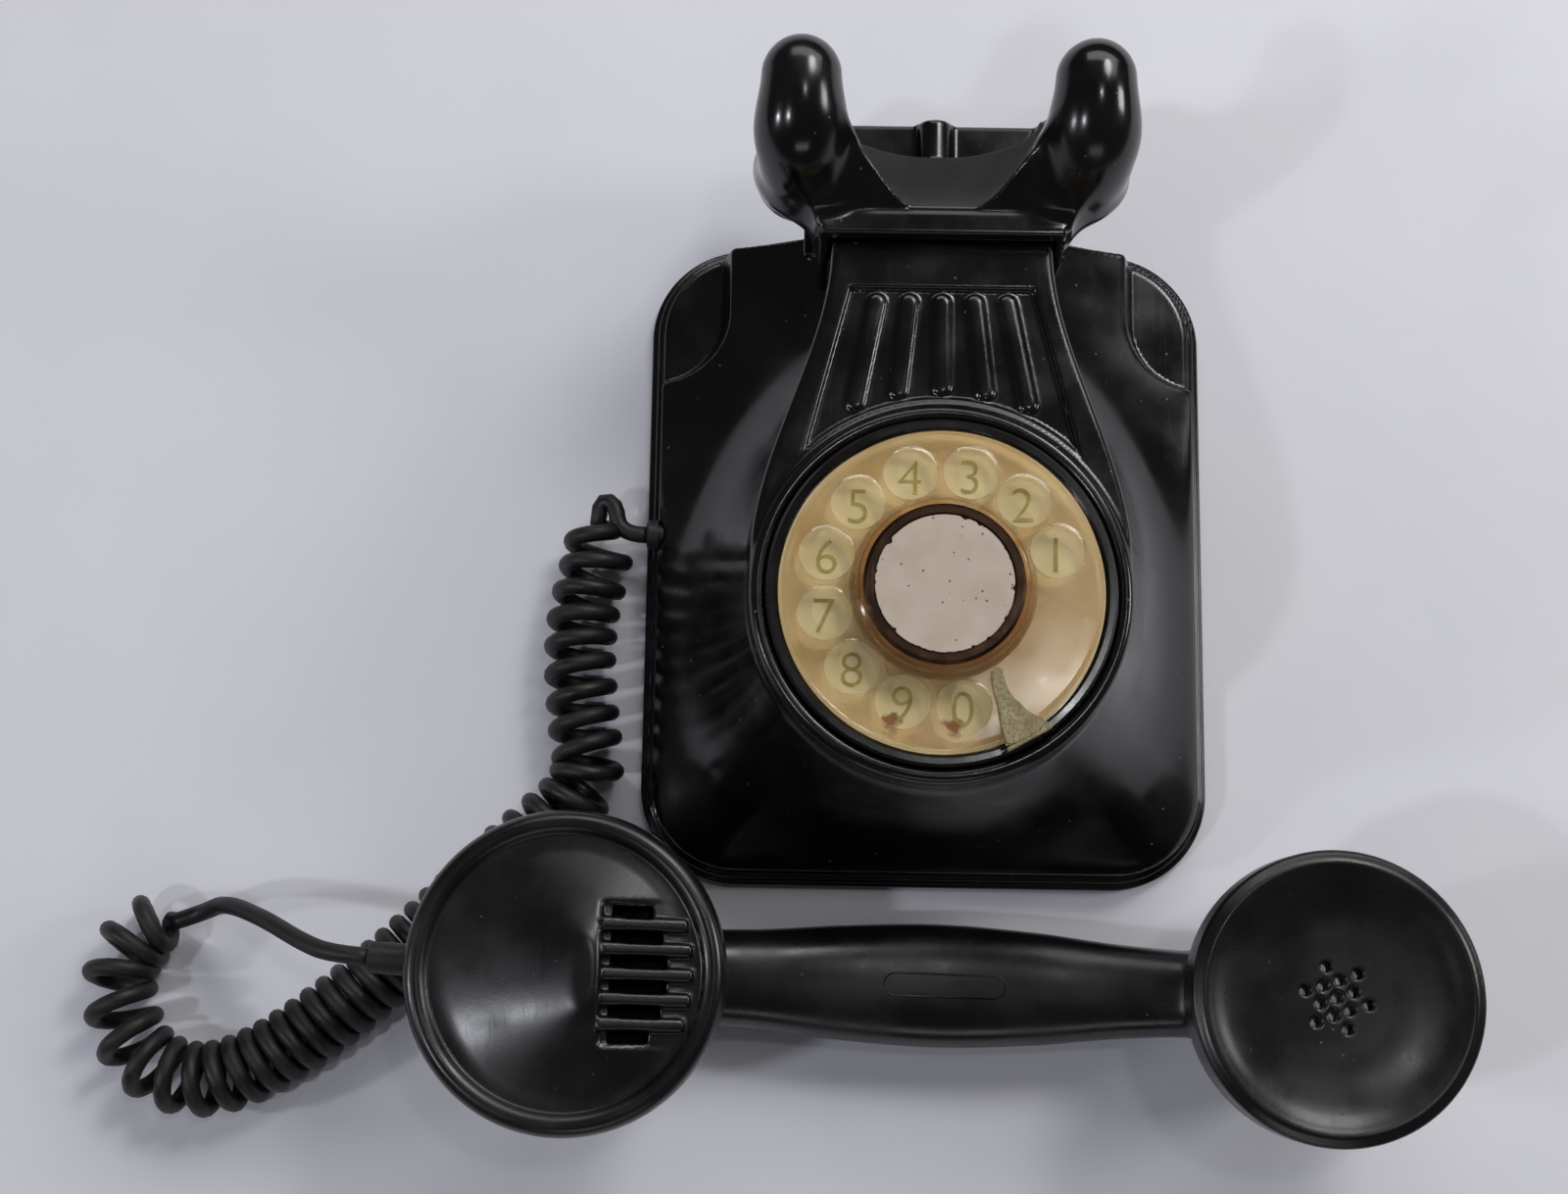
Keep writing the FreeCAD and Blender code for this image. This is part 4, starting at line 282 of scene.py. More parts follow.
# %% Laminate, varnish, card and rubber
# Paper and resin pressed into brown sheet, then punched: a waxy surface with a hint of fibres.
finishes["insulation"] = plain_finish("laminate_brown_punched", ("#5A3519", "#3E2412"), 3.0, 0.4, 0.6, 0.04, 0.6)
# Fine copper wire, varnished and wound: a glossy copper brown, its grain drawn 0.4 mm wide, twice the real wire.
finishes["winding"] = plain_finish("copper_wire_varnished", ("#8A4A22", "#5C2C14"), 2.0, 0.25, 0.45, 0.15, 0.4)
# The hub's card, printed and lacquered: off-white gone pinkish, with brown specks 0.4 mm across.
finishes["card"] = plain_finish(
    "card_lacquered_speckled", ("#CFC0B0", "#C4B4A3"), 9.0, 0.45, 0.6, 0.02, 0.5, 1.5, ("#5F4E3F", 2.6, 0.08)
)
# Grommets and glands, moulded rubber: a deep matt black.
finishes["rubber"] = plain_finish("rubber_moulded_black", ("#141312", "#1D1B1A"), 4.0, 0.42, 0.62, 0.05, 0.5, 1.52)
# The cord's sleeve: matt black, clouded with a waxy bloom.
finishes["cord_rubber"] = plain_finish("rubber_sleeve_black", ("#0F0F0F", "#1A1917"), 7.0, 0.4, 0.6, 0.05, 0.6, 1.52)
print("finishes so far:", len(finishes))

# %% [markdown]
# ## Clear plastic, gone amber
# The finger wheel was moulded in clear cellulose plastic, IOR about 1.46, which yellows with age, most of all at
# the foot of its hub, where the photograph shows an amber ring. It could be fully clear, but then light has to bend
# through it and out again, and the plate below comes out dark. So it transmits, with a warm tint, and a third of the
# light is let through unbent.

# %% Clear plastic
DIAL_Y = -20.0
AMBER_RING = (20.6, 21.8)  # full inside the first radius, gone outside the second


def clear_plastic(name, tone, deep):
    """Clear plastic with a warm tint and the amber ring round the hub."""
    made, tree, shader, place = start(name)
    tint = add(
        tree, "Mix", {FACTOR: cloud(tree, place, 16.0, 0.0, 1.0), FIRST: tone, SECOND: deep}, **RGBA
    )
    flat = add(tree, "VectorMath", {0: place, 1: (1.0, 1.0, 0.0)}, operation="MULTIPLY")
    away = add(tree, "VectorMath", {0: flat, 1: (0.0, DIAL_Y * MM, 0.0)}, operation="DISTANCE")
    inner, outer = AMBER_RING
    ring = add(
        tree, "MapRange",
        {"Value": away, "From Min": inner * MM, "From Max": outer * MM, "To Min": 0.85, "To Max": 0.0},
    )
    tint = add(tree, "Mix", {FACTOR: ring, FIRST: tint, SECOND: "#C98B5C"}, **RGBA)
    gloss = cloud(tree, place, 10.0, 0.08, 0.2, 5.0)
    waves = cloud(tree, place, 8.0, 0.0, 1.0, 2.0, 0.2, 0.8)
    skin = add(tree, "Bump", {"Height": waves, "Strength": 0.3, "Distance": 0.05 * MM})
    feed(tree, shader, {"Base Color": tint, "Roughness": gloss, "Normal": skin})
    feed(tree, shader, {"Transmission Weight": 1.0, "IOR": 1.46, "Alpha": 0.65})
    return made


finishes["clear_plastic"] = clear_plastic("cellulose_plastic_clear_yellowed", "#EBD9C8", "#E2C9AE")
print("clear plastic:", finishes["clear_plastic"].name)

# %% [markdown]
# ## Cream enamel of the number plate
# The plate under the wheel is steel, stoved with cream enamel that has yellowed. Two rust stains have crept in from
# its edge, below the 9 and the 0. Each stain is a distance from its own middle with a ragged edge.

# %% Number plate
STAINS = [(-11.6, -50.5, 71.2), (2.8, -51.8, 71.2)]


def enamel():
    """Cream enamel, clouded by age, with the rust stains."""
    made, tree, shader, place = start("enamel_cream_yellowed")
    clouds = cloud(tree, place, 12.0, 0.0, 1.0, 4.0)
    tone = add(tree, "Mix", {FACTOR: clouds, FIRST: "#F1DFA8", SECOND: "#E6D094"}, **RGBA)
    for spot in STAINS:
        away = add(tree, "VectorMath", {0: place, 1: [c * MM for c in spot]}, operation="DISTANCE")
        wander = cloud(tree, place, 1.8, -0.8 * MM, 0.8 * MM, 2.0)
        ragged = add(tree, "Math", {0: away, 1: wander}, operation="ADD")
        stain = add(
            tree, "MapRange",
            {"Value": ragged, "From Min": 1.2 * MM, "From Max": 2.8 * MM, "To Min": 0.9, "To Max": 0.0},
        )
        tone = add(tree, "Mix", {FACTOR: stain, FIRST: tone, SECOND: "#8E4C0C"}, **RGBA)
    gloss = cloud(tree, place, 6.0, 0.3, 0.5, 5.0)
    skin = add(tree, "Bump", {"Height": cloud(tree, place, 0.8, 0.0, 1.0), "Strength": 0.4, "Distance": 0.02 * MM})
    feed(tree, shader, {"Base Color": tone, "Roughness": gloss, "Normal": skin})
    return made


finishes["enamel"] = enamel()
print("stains on the plate:", len(STAINS))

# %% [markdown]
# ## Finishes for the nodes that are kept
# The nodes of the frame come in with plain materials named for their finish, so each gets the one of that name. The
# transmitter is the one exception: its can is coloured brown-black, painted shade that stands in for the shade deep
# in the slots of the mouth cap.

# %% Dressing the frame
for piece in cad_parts.values():
    for holder in piece.material_slots:
        holder.material = finishes[holder.material.name.split(".")[0]]
# Aluminium coloured brown-black as painted shade: the shade deep behind the slots, with just a dull gleam.
shade_painted_can = metal("aluminium_painted_shade_dark", "#241A16", "#15100E", 0.35, 0.5, 0.3)
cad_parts["transmitter"].material_slots[0].material = shade_painted_can
print("nodes dressed:", len(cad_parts))

# %% [markdown]
# ## The cord
# A curly cord in a rubber sleeve. Its route is one smooth curve: out of the housing's side, round a small loop, down
# the table, under the mouth cap, round the wide bend and up into the handset. It lies where its solids lie in the
# frame. It could be drawn as a Bezier curve with handles, but a NURBS curve needs only a few points, and it passes
# near them without a kink.

# %% The cord's route
route = [
    (-72.6, 4.7, 11.6), (-80.0, 4.7, 11.6), (-81.0, 13.5, 12.0), (-86.0, 14.0, 9.7), (-84.5, 2.0, 9.7),
    (-90.0, -20.0, 9.7), (-88.0, -44.0, 9.7), (-85.0, -61.0, 9.7), (-105.0, -78.0, 9.7), (-134.0, -108.0, 9.7),
    (-172.0, -137.0, 9.7), (-195.0, -134.0, 9.7), (-204.0, -114.0, 9.7), (-200.0, -100.5, 9.7),
    (-187.5, -96.0, 9.7), (-181.9, -94.0, 9.7), (-175.0, -92.0, 18.0), (-163.0, -96.0, 28.0),
    (-151.0, -102.0, 37.0), (-143.0, -104.6, 42.0), (-134.0, -105.2, 42.0),
]
curve = bpy.data.curves.new("cord_route", "CURVE")
curve.dimensions = "3D"
curve.resolution_u = 24
spline = curve.splines.new("NURBS")
spline.points.add(len(route) - 1)
for point, (x, y, z) in zip(spline.points, route):
    point.co = (x * MM, y * MM, z * MM, 1.0)
spline.order_u = 3
spline.use_endpoint_u = True
holder = bpy.data.objects.new("cord_route", curve)
scene.collection.objects.link(holder)
bpy.context.view_layer.update()
sampled = bpy.data.meshes.new_from_object(holder)
line = np.array([v.co for v in sampled.vertices])
bpy.data.objects.remove(holder)
steps = np.r_[0.0, np.cumsum(np.linalg.norm(np.diff(line, axis=0), axis=1))]
print("route: %.0f mm" % (steps[-1] / MM))

# %% [markdown]
# A helix needs two directions square to the route at every point. They are carried along the route without any
# twist of their own, so the turns stay even through the bends. The same two directions set out the rings of a tube.

# %% Directions along a route
def at(distance):
    """Points of the route at these distances along it."""
    return np.stack([np.interp(distance, steps, line[:, k]) for k in range(3)], axis=-1)


def nearest(x, y):
    """The distance along the route of its point nearest to x, y in millimetres."""
    return steps[np.argmin(np.hypot(line[:, 0] - x * MM, line[:, 1] - y * MM))]


def carried(points, first):
    """The direction of travel and two directions square to it, carried along without twist."""
    ahead = np.gradient(points, axis=0)
    ahead /= np.linalg.norm(ahead, axis=1)[:, None]
    side = np.zeros_like(points)
    current = np.array(first, float)
    for i, t in enumerate(ahead):
        current = current - t * (current @ t)
        current /= np.linalg.norm(current)
        side[i] = current
    return ahead, side, np.cross(ahead, side)


print("halfway along the route:", (at(steps[-1] / 2) / MM).round(1))

# %% [markdown]
# A tube is a ring of points round each point of a path, joined ring to ring. A curve could be given a round bevel
# and turned into a mesh, but then it twists where the path bends tightly, as a coil does at every turn.

# %% A round tube
def as_object(name, mesh, smooth=True):
    """A new object from a bmesh."""
    data = bpy.data.meshes.new(name)
    mesh.to_mesh(data)
    mesh.free()
    for face in data.polygons:
        face.use_smooth = smooth
    made = bpy.data.objects.new(name, data)
    scene.collection.objects.link(made)
    return made


def tube(name, points, radius, sides=12):
    """A round mesh tube along the points, closed at both ends."""
    points = np.asarray(points)
    level = abs(points[1, 2] - points[0, 2]) < 0.5 * MM
    _, side, over = carried(points, (0.0, 0.0, 1.0) if level else (0.0, 1.0, 0.0))
    mesh = bmesh.new()
    rings = []
    for p, s, o in zip(points, side, over):
        angles = [2 * math.pi * k / sides for k in range(sides)]
        rings.append([mesh.verts.new(p + (s * math.cos(a) + o * math.sin(a)) * radius) for a in angles])
    for one, two in zip(rings, rings[1:]):
        for k in range(sides):
            j = (k + 1) % sides
            mesh.faces.new((one[k], one[j], two[j], two[k]))
    mesh.faces.new(rings[0][::-1])
    mesh.faces.new(rings[-1])
    bmesh.ops.recalc_face_normals(mesh, faces=mesh.faces)
    print(name + ":", len(mesh.faces), "faces")
    return as_object(name, mesh)


# %% [markdown]
# The curly part is a helix round the route. Its turns stand open where the cord was pulled, near the housing and on
# the wide bend, and lie close where it has sprung back, so the pitch changes from place to place. At both ends the
# helix swells out of the straight cord within a few millimetres.

# %% The helix
CORD_RADIUS = 2.2 * MM
COIL_RADIUS = 7.3 * MM
SWELL_START, SWELL_END = 8 * MM, 6 * MM
RING_GAP = 1.9 * MM
coil_start = nearest(-85.0, 10.0)
coil_end = nearest(-189.0, -97.0)
pitch_at = [
    (coil_start, 6.4), (nearest(-86, 0), 7.6), (nearest(-89, -20), 6.4), (nearest(-88, -34), 7.4),
    (nearest(-88, -44), 6.6), (nearest(-88, -62), 7.5), (nearest(-100, -75), 6.0),
    (nearest(-134, -108), 4.8), (nearest(-165, -131), 4.9), (nearest(-188, -135), 7.0),
    (nearest(-202, -115), 9.0), (coil_end, 5.0),
]
distance = np.linspace(0.0, steps[-1], 4000)
inside = (distance >= coil_start) & (distance <= coil_end)
pitch = np.interp(distance, [p[0] for p in pitch_at], [p[1] * MM for p in pitch_at])
phase = np.cumsum(np.where(inside, np.gradient(distance) / pitch, 0.0)) * 2 * math.pi
swell = np.interp(
    distance, [coil_start, coil_start + SWELL_START, coil_end - SWELL_END, coil_end], [0.0, 1.0, 1.0, 0.0]
)
swell = swell * swell * (3 - 2 * swell) * COIL_RADIUS
centre = at(distance)
_, side, over = carried(centre, (0.0, 0.0, 1.0))
wound = centre + side * (np.cos(phase) * swell)[:, None] + over * (np.sin(phase) * swell)[:, None]
wound_steps = np.r_[0.0, np.cumsum(np.linalg.norm(np.diff(wound, axis=0), axis=1))]
print("turns in the cord: %.1f, length: %.2f m" % (phase[-1] / (2 * math.pi), wound_steps[-1]))

# %% [markdown]
# The cord is a round tube along the helix, with rings about 1.9 mm apart. It takes the place of the cord's three
# solids in the frame.

# %% The cord's mesh
rings = np.linspace(0.0, wound_steps[-1], int(wound_steps[-1] / RING_GAP))
path = np.stack([np.interp(rings, wound_steps, wound[:, k]) for k in range(3)], axis=-1)
cord = tube("cord", path, CORD_RADIUS)
cord.data.materials.append(finishes["cord_rubber"])
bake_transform(cord)
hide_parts("cord_root", "cord_coil", "cord_end")

# %% [markdown]
# ## Forms from fields
# The phenolic mouldings have no sharp joints: every part of them flows into the next. They could be sculpted, or
# built from subdivided boxes, but then each size sits in hundreds of vertices. A field keeps the sizes as numbers: it
# gives each point of space a value, below zero inside the form and above zero outside. Two forms are joined by
# taking the smaller value, and a soft minimum gives the joint a fillet. All fields below are in millimetres.

# %% Joining, cutting and smooth curves
def softer(a, b, width):
    """The smaller of two fields, with a fillet of about that width."""
    share = np.clip(0.5 + (b - a) / (2 * width), 0.0, 1.0)
    return b + (a - b) * share - width * share * (1 - share)


def common(a, b, width):
    """Where both forms are, with edges rounded by about that width."""
    return -softer(-a, -b, width)


def without(a, b, width):
    """The first form with the second taken out, edges rounded."""
    return -softer(-a, b, width)


def ramp(x, low, high):
    """0 below low, 1 above high, smooth between."""
    t = np.clip((x - low) / (high - low), 0.0, 1.0)
    return t * t * (3 - 2 * t)


def eased(x, places, values):
    """A smooth curve through values at places, flat beyond its ends."""
    places, values = np.asarray(places, float), np.asarray(values, float)
    slopes = np.gradient(values, places)
    x = np.clip(x, places[0], places[-1])
    i = np.clip(np.searchsorted(places, x, side="right") - 1, 0, len(places) - 2)
    gap = places[i + 1] - places[i]
    t = (x - places[i]) / gap
    start_part = (1 + 2 * t) * (1 - t) ** 2 * values[i] + t * (1 - t) ** 2 * gap * slopes[i]
    end_part = t * t * (3 - 2 * t) * values[i + 1] - t * t * (1 - t) * gap * slopes[i + 1]
    return start_part + end_part


print("two planes that meet at 0, joined with a 1 mm fillet:", softer(0.0, 0.0, 1.0))

# %% [markdown]
# The surface is where the field is zero. It is found on a grid of cells: each cell that the surface crosses gets
# one vertex, in the middle of the crossings on its edges, and each grid edge that it crosses gets one face. Then
# the vertices step twice along the field's slope onto the surface, which makes the edges crisp.

# %% The cells that a surface crosses
def crossings(values):
    """For each grid edge where the sign changes: the crossing, and the four cells round the edge, in order."""
    corners, fours = [], []
    for axis in range(3):
        first = np.moveaxis(values, axis, 0)[:-1]
        second = np.moveaxis(values, axis, 0)[1:]
        spot = np.argwhere((first < 0) != (second < 0))
        one, two = first[tuple(spot.T)], second[tuple(spot.T)]
        spot = np.insert(spot[:, 1:], axis, spot[:, 0], axis=1)
        point = spot.astype(float)
        point[:, axis] += one / (one - two)
        u, v = (axis + 1) % 3, (axis + 2) % 3
        around = []
        for du, dv in ((-1, -1), (0, -1), (0, 0), (-1, 0)):
            beside = spot.copy()
            beside[:, u] += du
            beside[:, v] += dv
            around.append(np.ravel_multi_index(beside.T, values.shape))
        four = np.stack(around, axis=1)
        four[one > 0] = four[one > 0][:, ::-1]
        fours.append(four)
        corners.append(np.repeat(point[:, None], 4, axis=1))
    return np.concatenate(fours), np.concatenate(corners)


ticks = np.arange(-4.0, 5.0)
ball = np.sqrt(sum(axis**2 for axis in np.meshgrid(ticks, ticks, ticks))) - 2.2
print("faces of a small ball:", len(crossings(ball)[0]))

# %% [markdown]
# Now both steps are put together. The slope of a field is measured by probing it a little to each side. The finer
# the cells, the sharper the small forms come out, and the longer it takes, so each piece has its own size of cell.

# %% A mesh from a field
PROBE = 0.05


def settled(points, field, cell):
    """The points after one step onto the surface, no longer than a part of a cell."""
    here = field(*points.T)
    slope = np.stack([field(*(points + PROBE * e).T) - here for e in np.eye(3)], axis=1) / PROBE
    shift = here[:, None] * slope / np.maximum((slope**2).sum(axis=1), 0.04)[:, None]
    reach = np.linalg.norm(shift, axis=1)[:, None]
    return points - shift * np.minimum(1.0, 0.4 * cell / np.maximum(reach, 1e-9))


def from_field(name, field, low, high, cell, place=None):
    """A mesh where the field is zero. place turns its own points into the frame's."""
    axes = [np.arange(a, b + cell, cell) for a, b in zip(low, high)]
    grid = np.meshgrid(*axes, indexing="ij", sparse=True)
    values = np.broadcast_to(field(*grid), [len(a) for a in axes]).astype(np.float32)
    fours, corners = crossings(values)
    _, index = np.unique(fours.ravel(), return_inverse=True)
    count = np.bincount(index)
    points = np.stack([np.bincount(index, corners[:, :, k].ravel()) / count for k in range(3)], axis=1)
    points = points * cell + np.array(low)
    for _ in range(2):
        points = settled(points, field, cell)
    if place is not None:
        points = place(points)
    data = bpy.data.meshes.new(name)
    faces = index.reshape(-1, 4)
    data.vertices.add(len(points))
    data.vertices.foreach_set("co", (points * MM).ravel())
    data.loops.add(faces.size)
    data.loops.foreach_set("vertex_index", faces.ravel())
    data.polygons.add(len(faces))
    data.polygons.foreach_set("loop_start", np.arange(0, faces.size, 4))
    data.polygons.foreach_set("use_smooth", np.ones(len(faces), bool))
    data.update(calc_edges=True)
    data.validate()
    made = bpy.data.objects.new(name, data)
    scene.collection.objects.link(made)
    print(f"{name}: {len(points)} points, {len(faces)} faces")
    return made


# %% [markdown]
# Every piece made here stands for a node of the frame. It gets a finish, it rides on the node's body, so that it
# moves with the same joint, and it takes the node's place in the picture.

# %% Dressing a piece
def dress(piece, body, finish, slot, *nodes):
    """Gives a piece its finish, its body and the nodes that it stands for."""
    piece.data.materials.append(finish)
    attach(piece, body)
    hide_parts(*nodes)
    print(piece.name, "rides on", body, "in place of", *nodes)


# %% [markdown]
# ## The housing
# One moulding: two low steps of a flange, flanks that start upright, turn in and climb steeper and steeper to the
# dial, and the lyre-shaped panel that stands out of them. A loft could join its outlines, but the steps, scoops and
# fillets would have to be cut by hand. First come its two outlines as seen from the front: the rounded base, and the
# lyre, which is round the dial below and narrows to the neck above.

# %% The housing's outlines
HALF_WIDTH, HALF_HEIGHT, CORNER = 73.0, 85.0, 25.0
RIM_RADIUS, NECK_HALF, NECK_END = 44.7, 26.5, 66.0


def base_distance(x, y, inset):
    """From the rounded outline of the base, moved in by inset."""
    corner = CORNER - inset
    across = np.abs(x) - (HALF_WIDTH - inset) + corner
    upwards = np.abs(y) - (HALF_HEIGHT - inset) + corner
    outside = np.hypot(np.maximum(across, 0), np.maximum(upwards, 0))
    return outside + np.minimum(np.maximum(across, upwards), 0) - corner


def lyre_half(y):
    """Half the width of the lyre, from the dial's rim to the neck."""
    return RIM_RADIUS - (RIM_RADIUS - NECK_HALF) * ramp(y, DIAL_Y + 8, 64.0)


def lyre_distance(x, y):
    """From the lyre: straight across above the dial's middle, round below it."""
    beside = np.abs(x) - lyre_half(y)
    below = np.hypot(x, y - DIAL_Y) - RIM_RADIUS
    return np.where(y > DIAL_Y, np.maximum(beside, y - NECK_END), below)


print("lyre: %.1f mm wide at the dial, %.1f at the neck" % (2 * lyre_half(DIAL_Y), 2 * lyre_half(NECK_END)))

# %% [markdown]
# The flank is an outline that changes with height, from the base to the lyre. Above the dial it moves straight in
# from the sides. Below the dial's middle it moves in along rays from that middle, so the two round corners of the
# base shrink smoothly into the round rim.

# %% The housing's flanks
FOOT_TOP, FOOT_INSET, FLANK_INSET = 13.0, 3.4, 3.7
FLANK_TOP = 62.5


def climb(z, height):
    """How far a flank of that height has turned in: 0 at its foot, quickly more, and 1 at its top."""
    rise = np.maximum(z - FOOT_TOP, 0.0) / height
    return np.minimum(rise**0.6 * (1 - np.exp(-rise / 0.1)), 1.0)


def base_reach(cos, sin):
    """How far the base's outline lies from the dial's middle along rays that point down and aside."""
    wide, deep = HALF_WIDTH - FLANK_INSET, HALF_HEIGHT + DIAL_Y - FLANK_INSET
    reach = np.minimum(wide / np.maximum(cos, 1e-6), deep / np.maximum(sin, 1e-6))
    corner = CORNER - FLANK_INSET
    corner_x, corner_y = wide - corner, deep - corner
    middle = cos * corner_x + sin * corner_y
    round_reach = middle + np.sqrt(np.maximum(middle**2 - corner_x**2 - corner_y**2 + corner**2, 0.0))
    return np.where((cos * reach > corner_x) & (sin * reach > corner_y), round_reach, reach)


def flank_distance(x, y, z):
    """From the leaning flanks: the outline at each height lies between the base and the lyre."""
    share = climb(z, 62.0 - 32.0 * ramp(y, DIAL_Y, NECK_END) - FOOT_TOP)
    half = HALF_WIDTH - FLANK_INSET - share * (HALF_WIDTH - FLANK_INSET - lyre_half(y) + 0.5)
    beside = np.abs(x) - half
    down = np.minimum(y - DIAL_Y, 0.0)
    radius = np.maximum(np.hypot(x, down), 1e-6)
    reach = base_reach(np.abs(x) / radius, -down / radius)
    below = radius - (reach - climb(z, 49.0) * (reach - (RIM_RADIUS - 0.5)))
    return np.where(y > DIAL_Y, beside, below)


def flared(x, y, z):
    """The upright foot and the flanks together, low behind the neck so that the fork has room."""
    foot = np.maximum(base_distance(x, y, FOOT_INSET), z - FOOT_TOP)
    flank = np.maximum(flank_distance(x, y, z), np.maximum(12.0 - z, y - 81.3))
    top = z - FLANK_TOP + 32.3 * ramp(y, 63.0, NECK_END)
    return softer(foot, np.maximum(flank, top), 0.6)


for height in (13, 20, 35, 50, 62):
    print("at", height, "mm the flank has turned in by %.2f" % climb(height, 49.0))

# %% [markdown]
# Three smaller forms are cut in: the round scoops out of the two top corners, the sunk field on the neck, and the
# five pill-shaped ribs that are left standing in it. The ribs fan out downwards like the lyre's strings.

# %% Scoops, field and ribs
SCOOP_X, SCOOP_Y, SCOOP_FLOOR, SCOOP_RADIUS = 72.0, 64.0, 9.5, 17.5
FIELD_HALF, FIELD_TOP, FIELD_ARC = 21.8, 53.5, 46.69
RIB_TOP, RIB_FOOT, RIB_HALF = (7.8, 50.2), (10.2, 29.5), 2.1


def scoop_distance(x, y, z, grown=0.0):
    """From the scoops, which widen a little towards their mouth."""
    radius = SCOOP_RADIUS + grown + (z - SCOOP_FLOOR) * 0.333
    beyond = np.minimum(y - SCOOP_Y, 0.0)
    return np.maximum(np.hypot(np.abs(x) - SCOOP_X, beyond) - radius, SCOOP_FLOOR - grown - z)


def field_distance(x, y):
    """From the sunk field: straight sides, and a lower edge that follows the dial."""
    side = (np.abs(x) - FIELD_HALF) * 0.968 + (y - FIELD_TOP) * 0.25
    arc = FIELD_ARC - np.hypot(x, y - DIAL_Y)
    return np.maximum(np.maximum(side, y - FIELD_TOP), arc)


def ribs_distance(x, y):
    """From the five ribs, counted from the middle one."""
    nearest_rib = 1e3
    for i in range(-2, 3):
        ax, ay, bx, by = RIB_TOP[0] * i, RIB_TOP[1], RIB_FOOT[0] * i, RIB_FOOT[1] - i * i
        dx, dy = bx - ax, by - ay
        t = np.clip(((x - ax) * dx + (y - ay) * dy) / (dx * dx + dy * dy), 0, 1)
        nearest_rib = np.minimum(nearest_rib, np.hypot(x - ax - t * dx, y - ay - t * dy) - RIB_HALF)
    return nearest_rib


print("the middle rib is %.1f mm long" % (RIB_TOP[1] - RIB_FOOT[1] + 2 * RIB_HALF))

# %% [markdown]
# The whole housing is joined from the bottom up: flange, step, flanks, panel and rim, less the scoops and the sunk
# field. Then it is hollowed like the real shell, 3 mm thick, with a round opening for the dial's case and a wide
# one at the back for the steel plate.

# %% The housing's field
FLANGE_TOP, STEP_TOP, PANEL_TOP = 4.5, 7.5, 70.0
BEAD_MIDDLE, BEAD_HEIGHT, BEAD_HALF = 42.9, 69.7, 1.75  # the round bead of the rim
WALL = 3.0


def housing_solid(x, y, z):
    """The housing's outside."""
    form = common(base_distance(x, y, 0.0), z - FLANGE_TOP, 0.9)
    form = softer(form, common(base_distance(x, y, 1.7), z - STEP_TOP, 0.9), 0.3)
    form = softer(form, flared(x, y, z), 0.3)
    form = softer(form, common(lyre_distance(x, y), z - PANEL_TOP, 1.8), 1.5)
    form = without(form, scoop_distance(x, y, z), 1.2)
    rim = np.hypot(np.hypot(x, y - DIAL_Y) - BEAD_MIDDLE, z - BEAD_HEIGHT) - BEAD_HALF
    form = softer(form, rim, 1.0)
    recess = common(field_distance(x, y), 68.8 - z, 0.7)
    recess = without(recess, common(ribs_distance(x, y), z - 69.9, 1.1), 0.8)
    return without(form, np.maximum(recess, z - 72.0), 0.9)


def housing_hollow(x, y, z):
    """The room inside it, with the openings for the dial and the back plate."""
    around = np.hypot(x, y - DIAL_Y)
    hollow = np.maximum(base_distance(x, y, 6.4), z - 10.0)
    hollow = np.minimum(hollow, flared(x, y, z + WALL) + WALL)
    hollow = np.minimum(hollow, np.maximum(lyre_distance(x, y) + WALL, z - PANEL_TOP + WALL))
    hollow = np.maximum(hollow, -scoop_distance(x, y, z, 2.6))
    hollow = np.minimum(hollow, np.maximum(around - 38.1, 40.0 - z))
    hollow = np.minimum(hollow, np.maximum(around - 41.2, 68.5 - z))
    return np.minimum(hollow, np.maximum(base_distance(x, y, 3.7), z - 1.6))


def housing_field(x, y, z):
    """The housing: its outside, less its inside, cut off flat at the wall."""
    return np.maximum(np.maximum(housing_solid(x, y, z), -housing_hollow(x, y, z)), -z)


housing = from_field("housing_moulding", housing_field, (-74.5, -86.5, -1.5), (74.5, 86.5, 73.5), 0.7)
dress(housing, "base", black, "phenolic", "housing")

# %% [markdown]
# ## The fork
# The fork is a second moulding. It slides on the neck with a sleeve, and has a band across the front, a saddle for
# the grip, and two thick horns. Each horn stands on a side bar that leans back, turns forward through a quarter
# circle and ends in a round tip. x is mirrored in all of it, so most parts are given by how far they lie across.

# %% The horns
HORN_X, HORN_RADIUS = 34.3, 9.65
BEND_Y, BEND_Z, BEND_RADIUS = 97.0, 75.0, 15.0
TIP_Y = 98.3
ARM_LOW, ARM_HIGH, ARM_RADIUS = np.array((25.5, 76.5, 66.0)), np.array((HORN_X, 88.0, 84.0)), 8.5


def horn_distance(across, y, z):
    """From a horn: a bar that leans back below, a quarter circle, and a short level end that tapers."""
    back = 0.5 * np.maximum(70.0 - z, 0.0)
    upright = np.hypot(y - (BEND_Y - BEND_RADIUS) - back, np.maximum(z - BEND_Z, 0.0))
    level = np.hypot(np.maximum(np.maximum(BEND_Y - y, y - TIP_Y), 0.0), z - BEND_Z - BEND_RADIUS)
    outside = (y > BEND_Y) | (z < BEND_Z)
    bend = np.where(outside, 1e3, np.abs(np.hypot(y - BEND_Y, z - BEND_Z) - BEND_RADIUS))
    middle = np.minimum(np.minimum(upright, level), bend)
    return np.hypot(middle, across - HORN_X) - HORN_RADIUS + 0.4 * ramp(y, 88.0, 106.0)


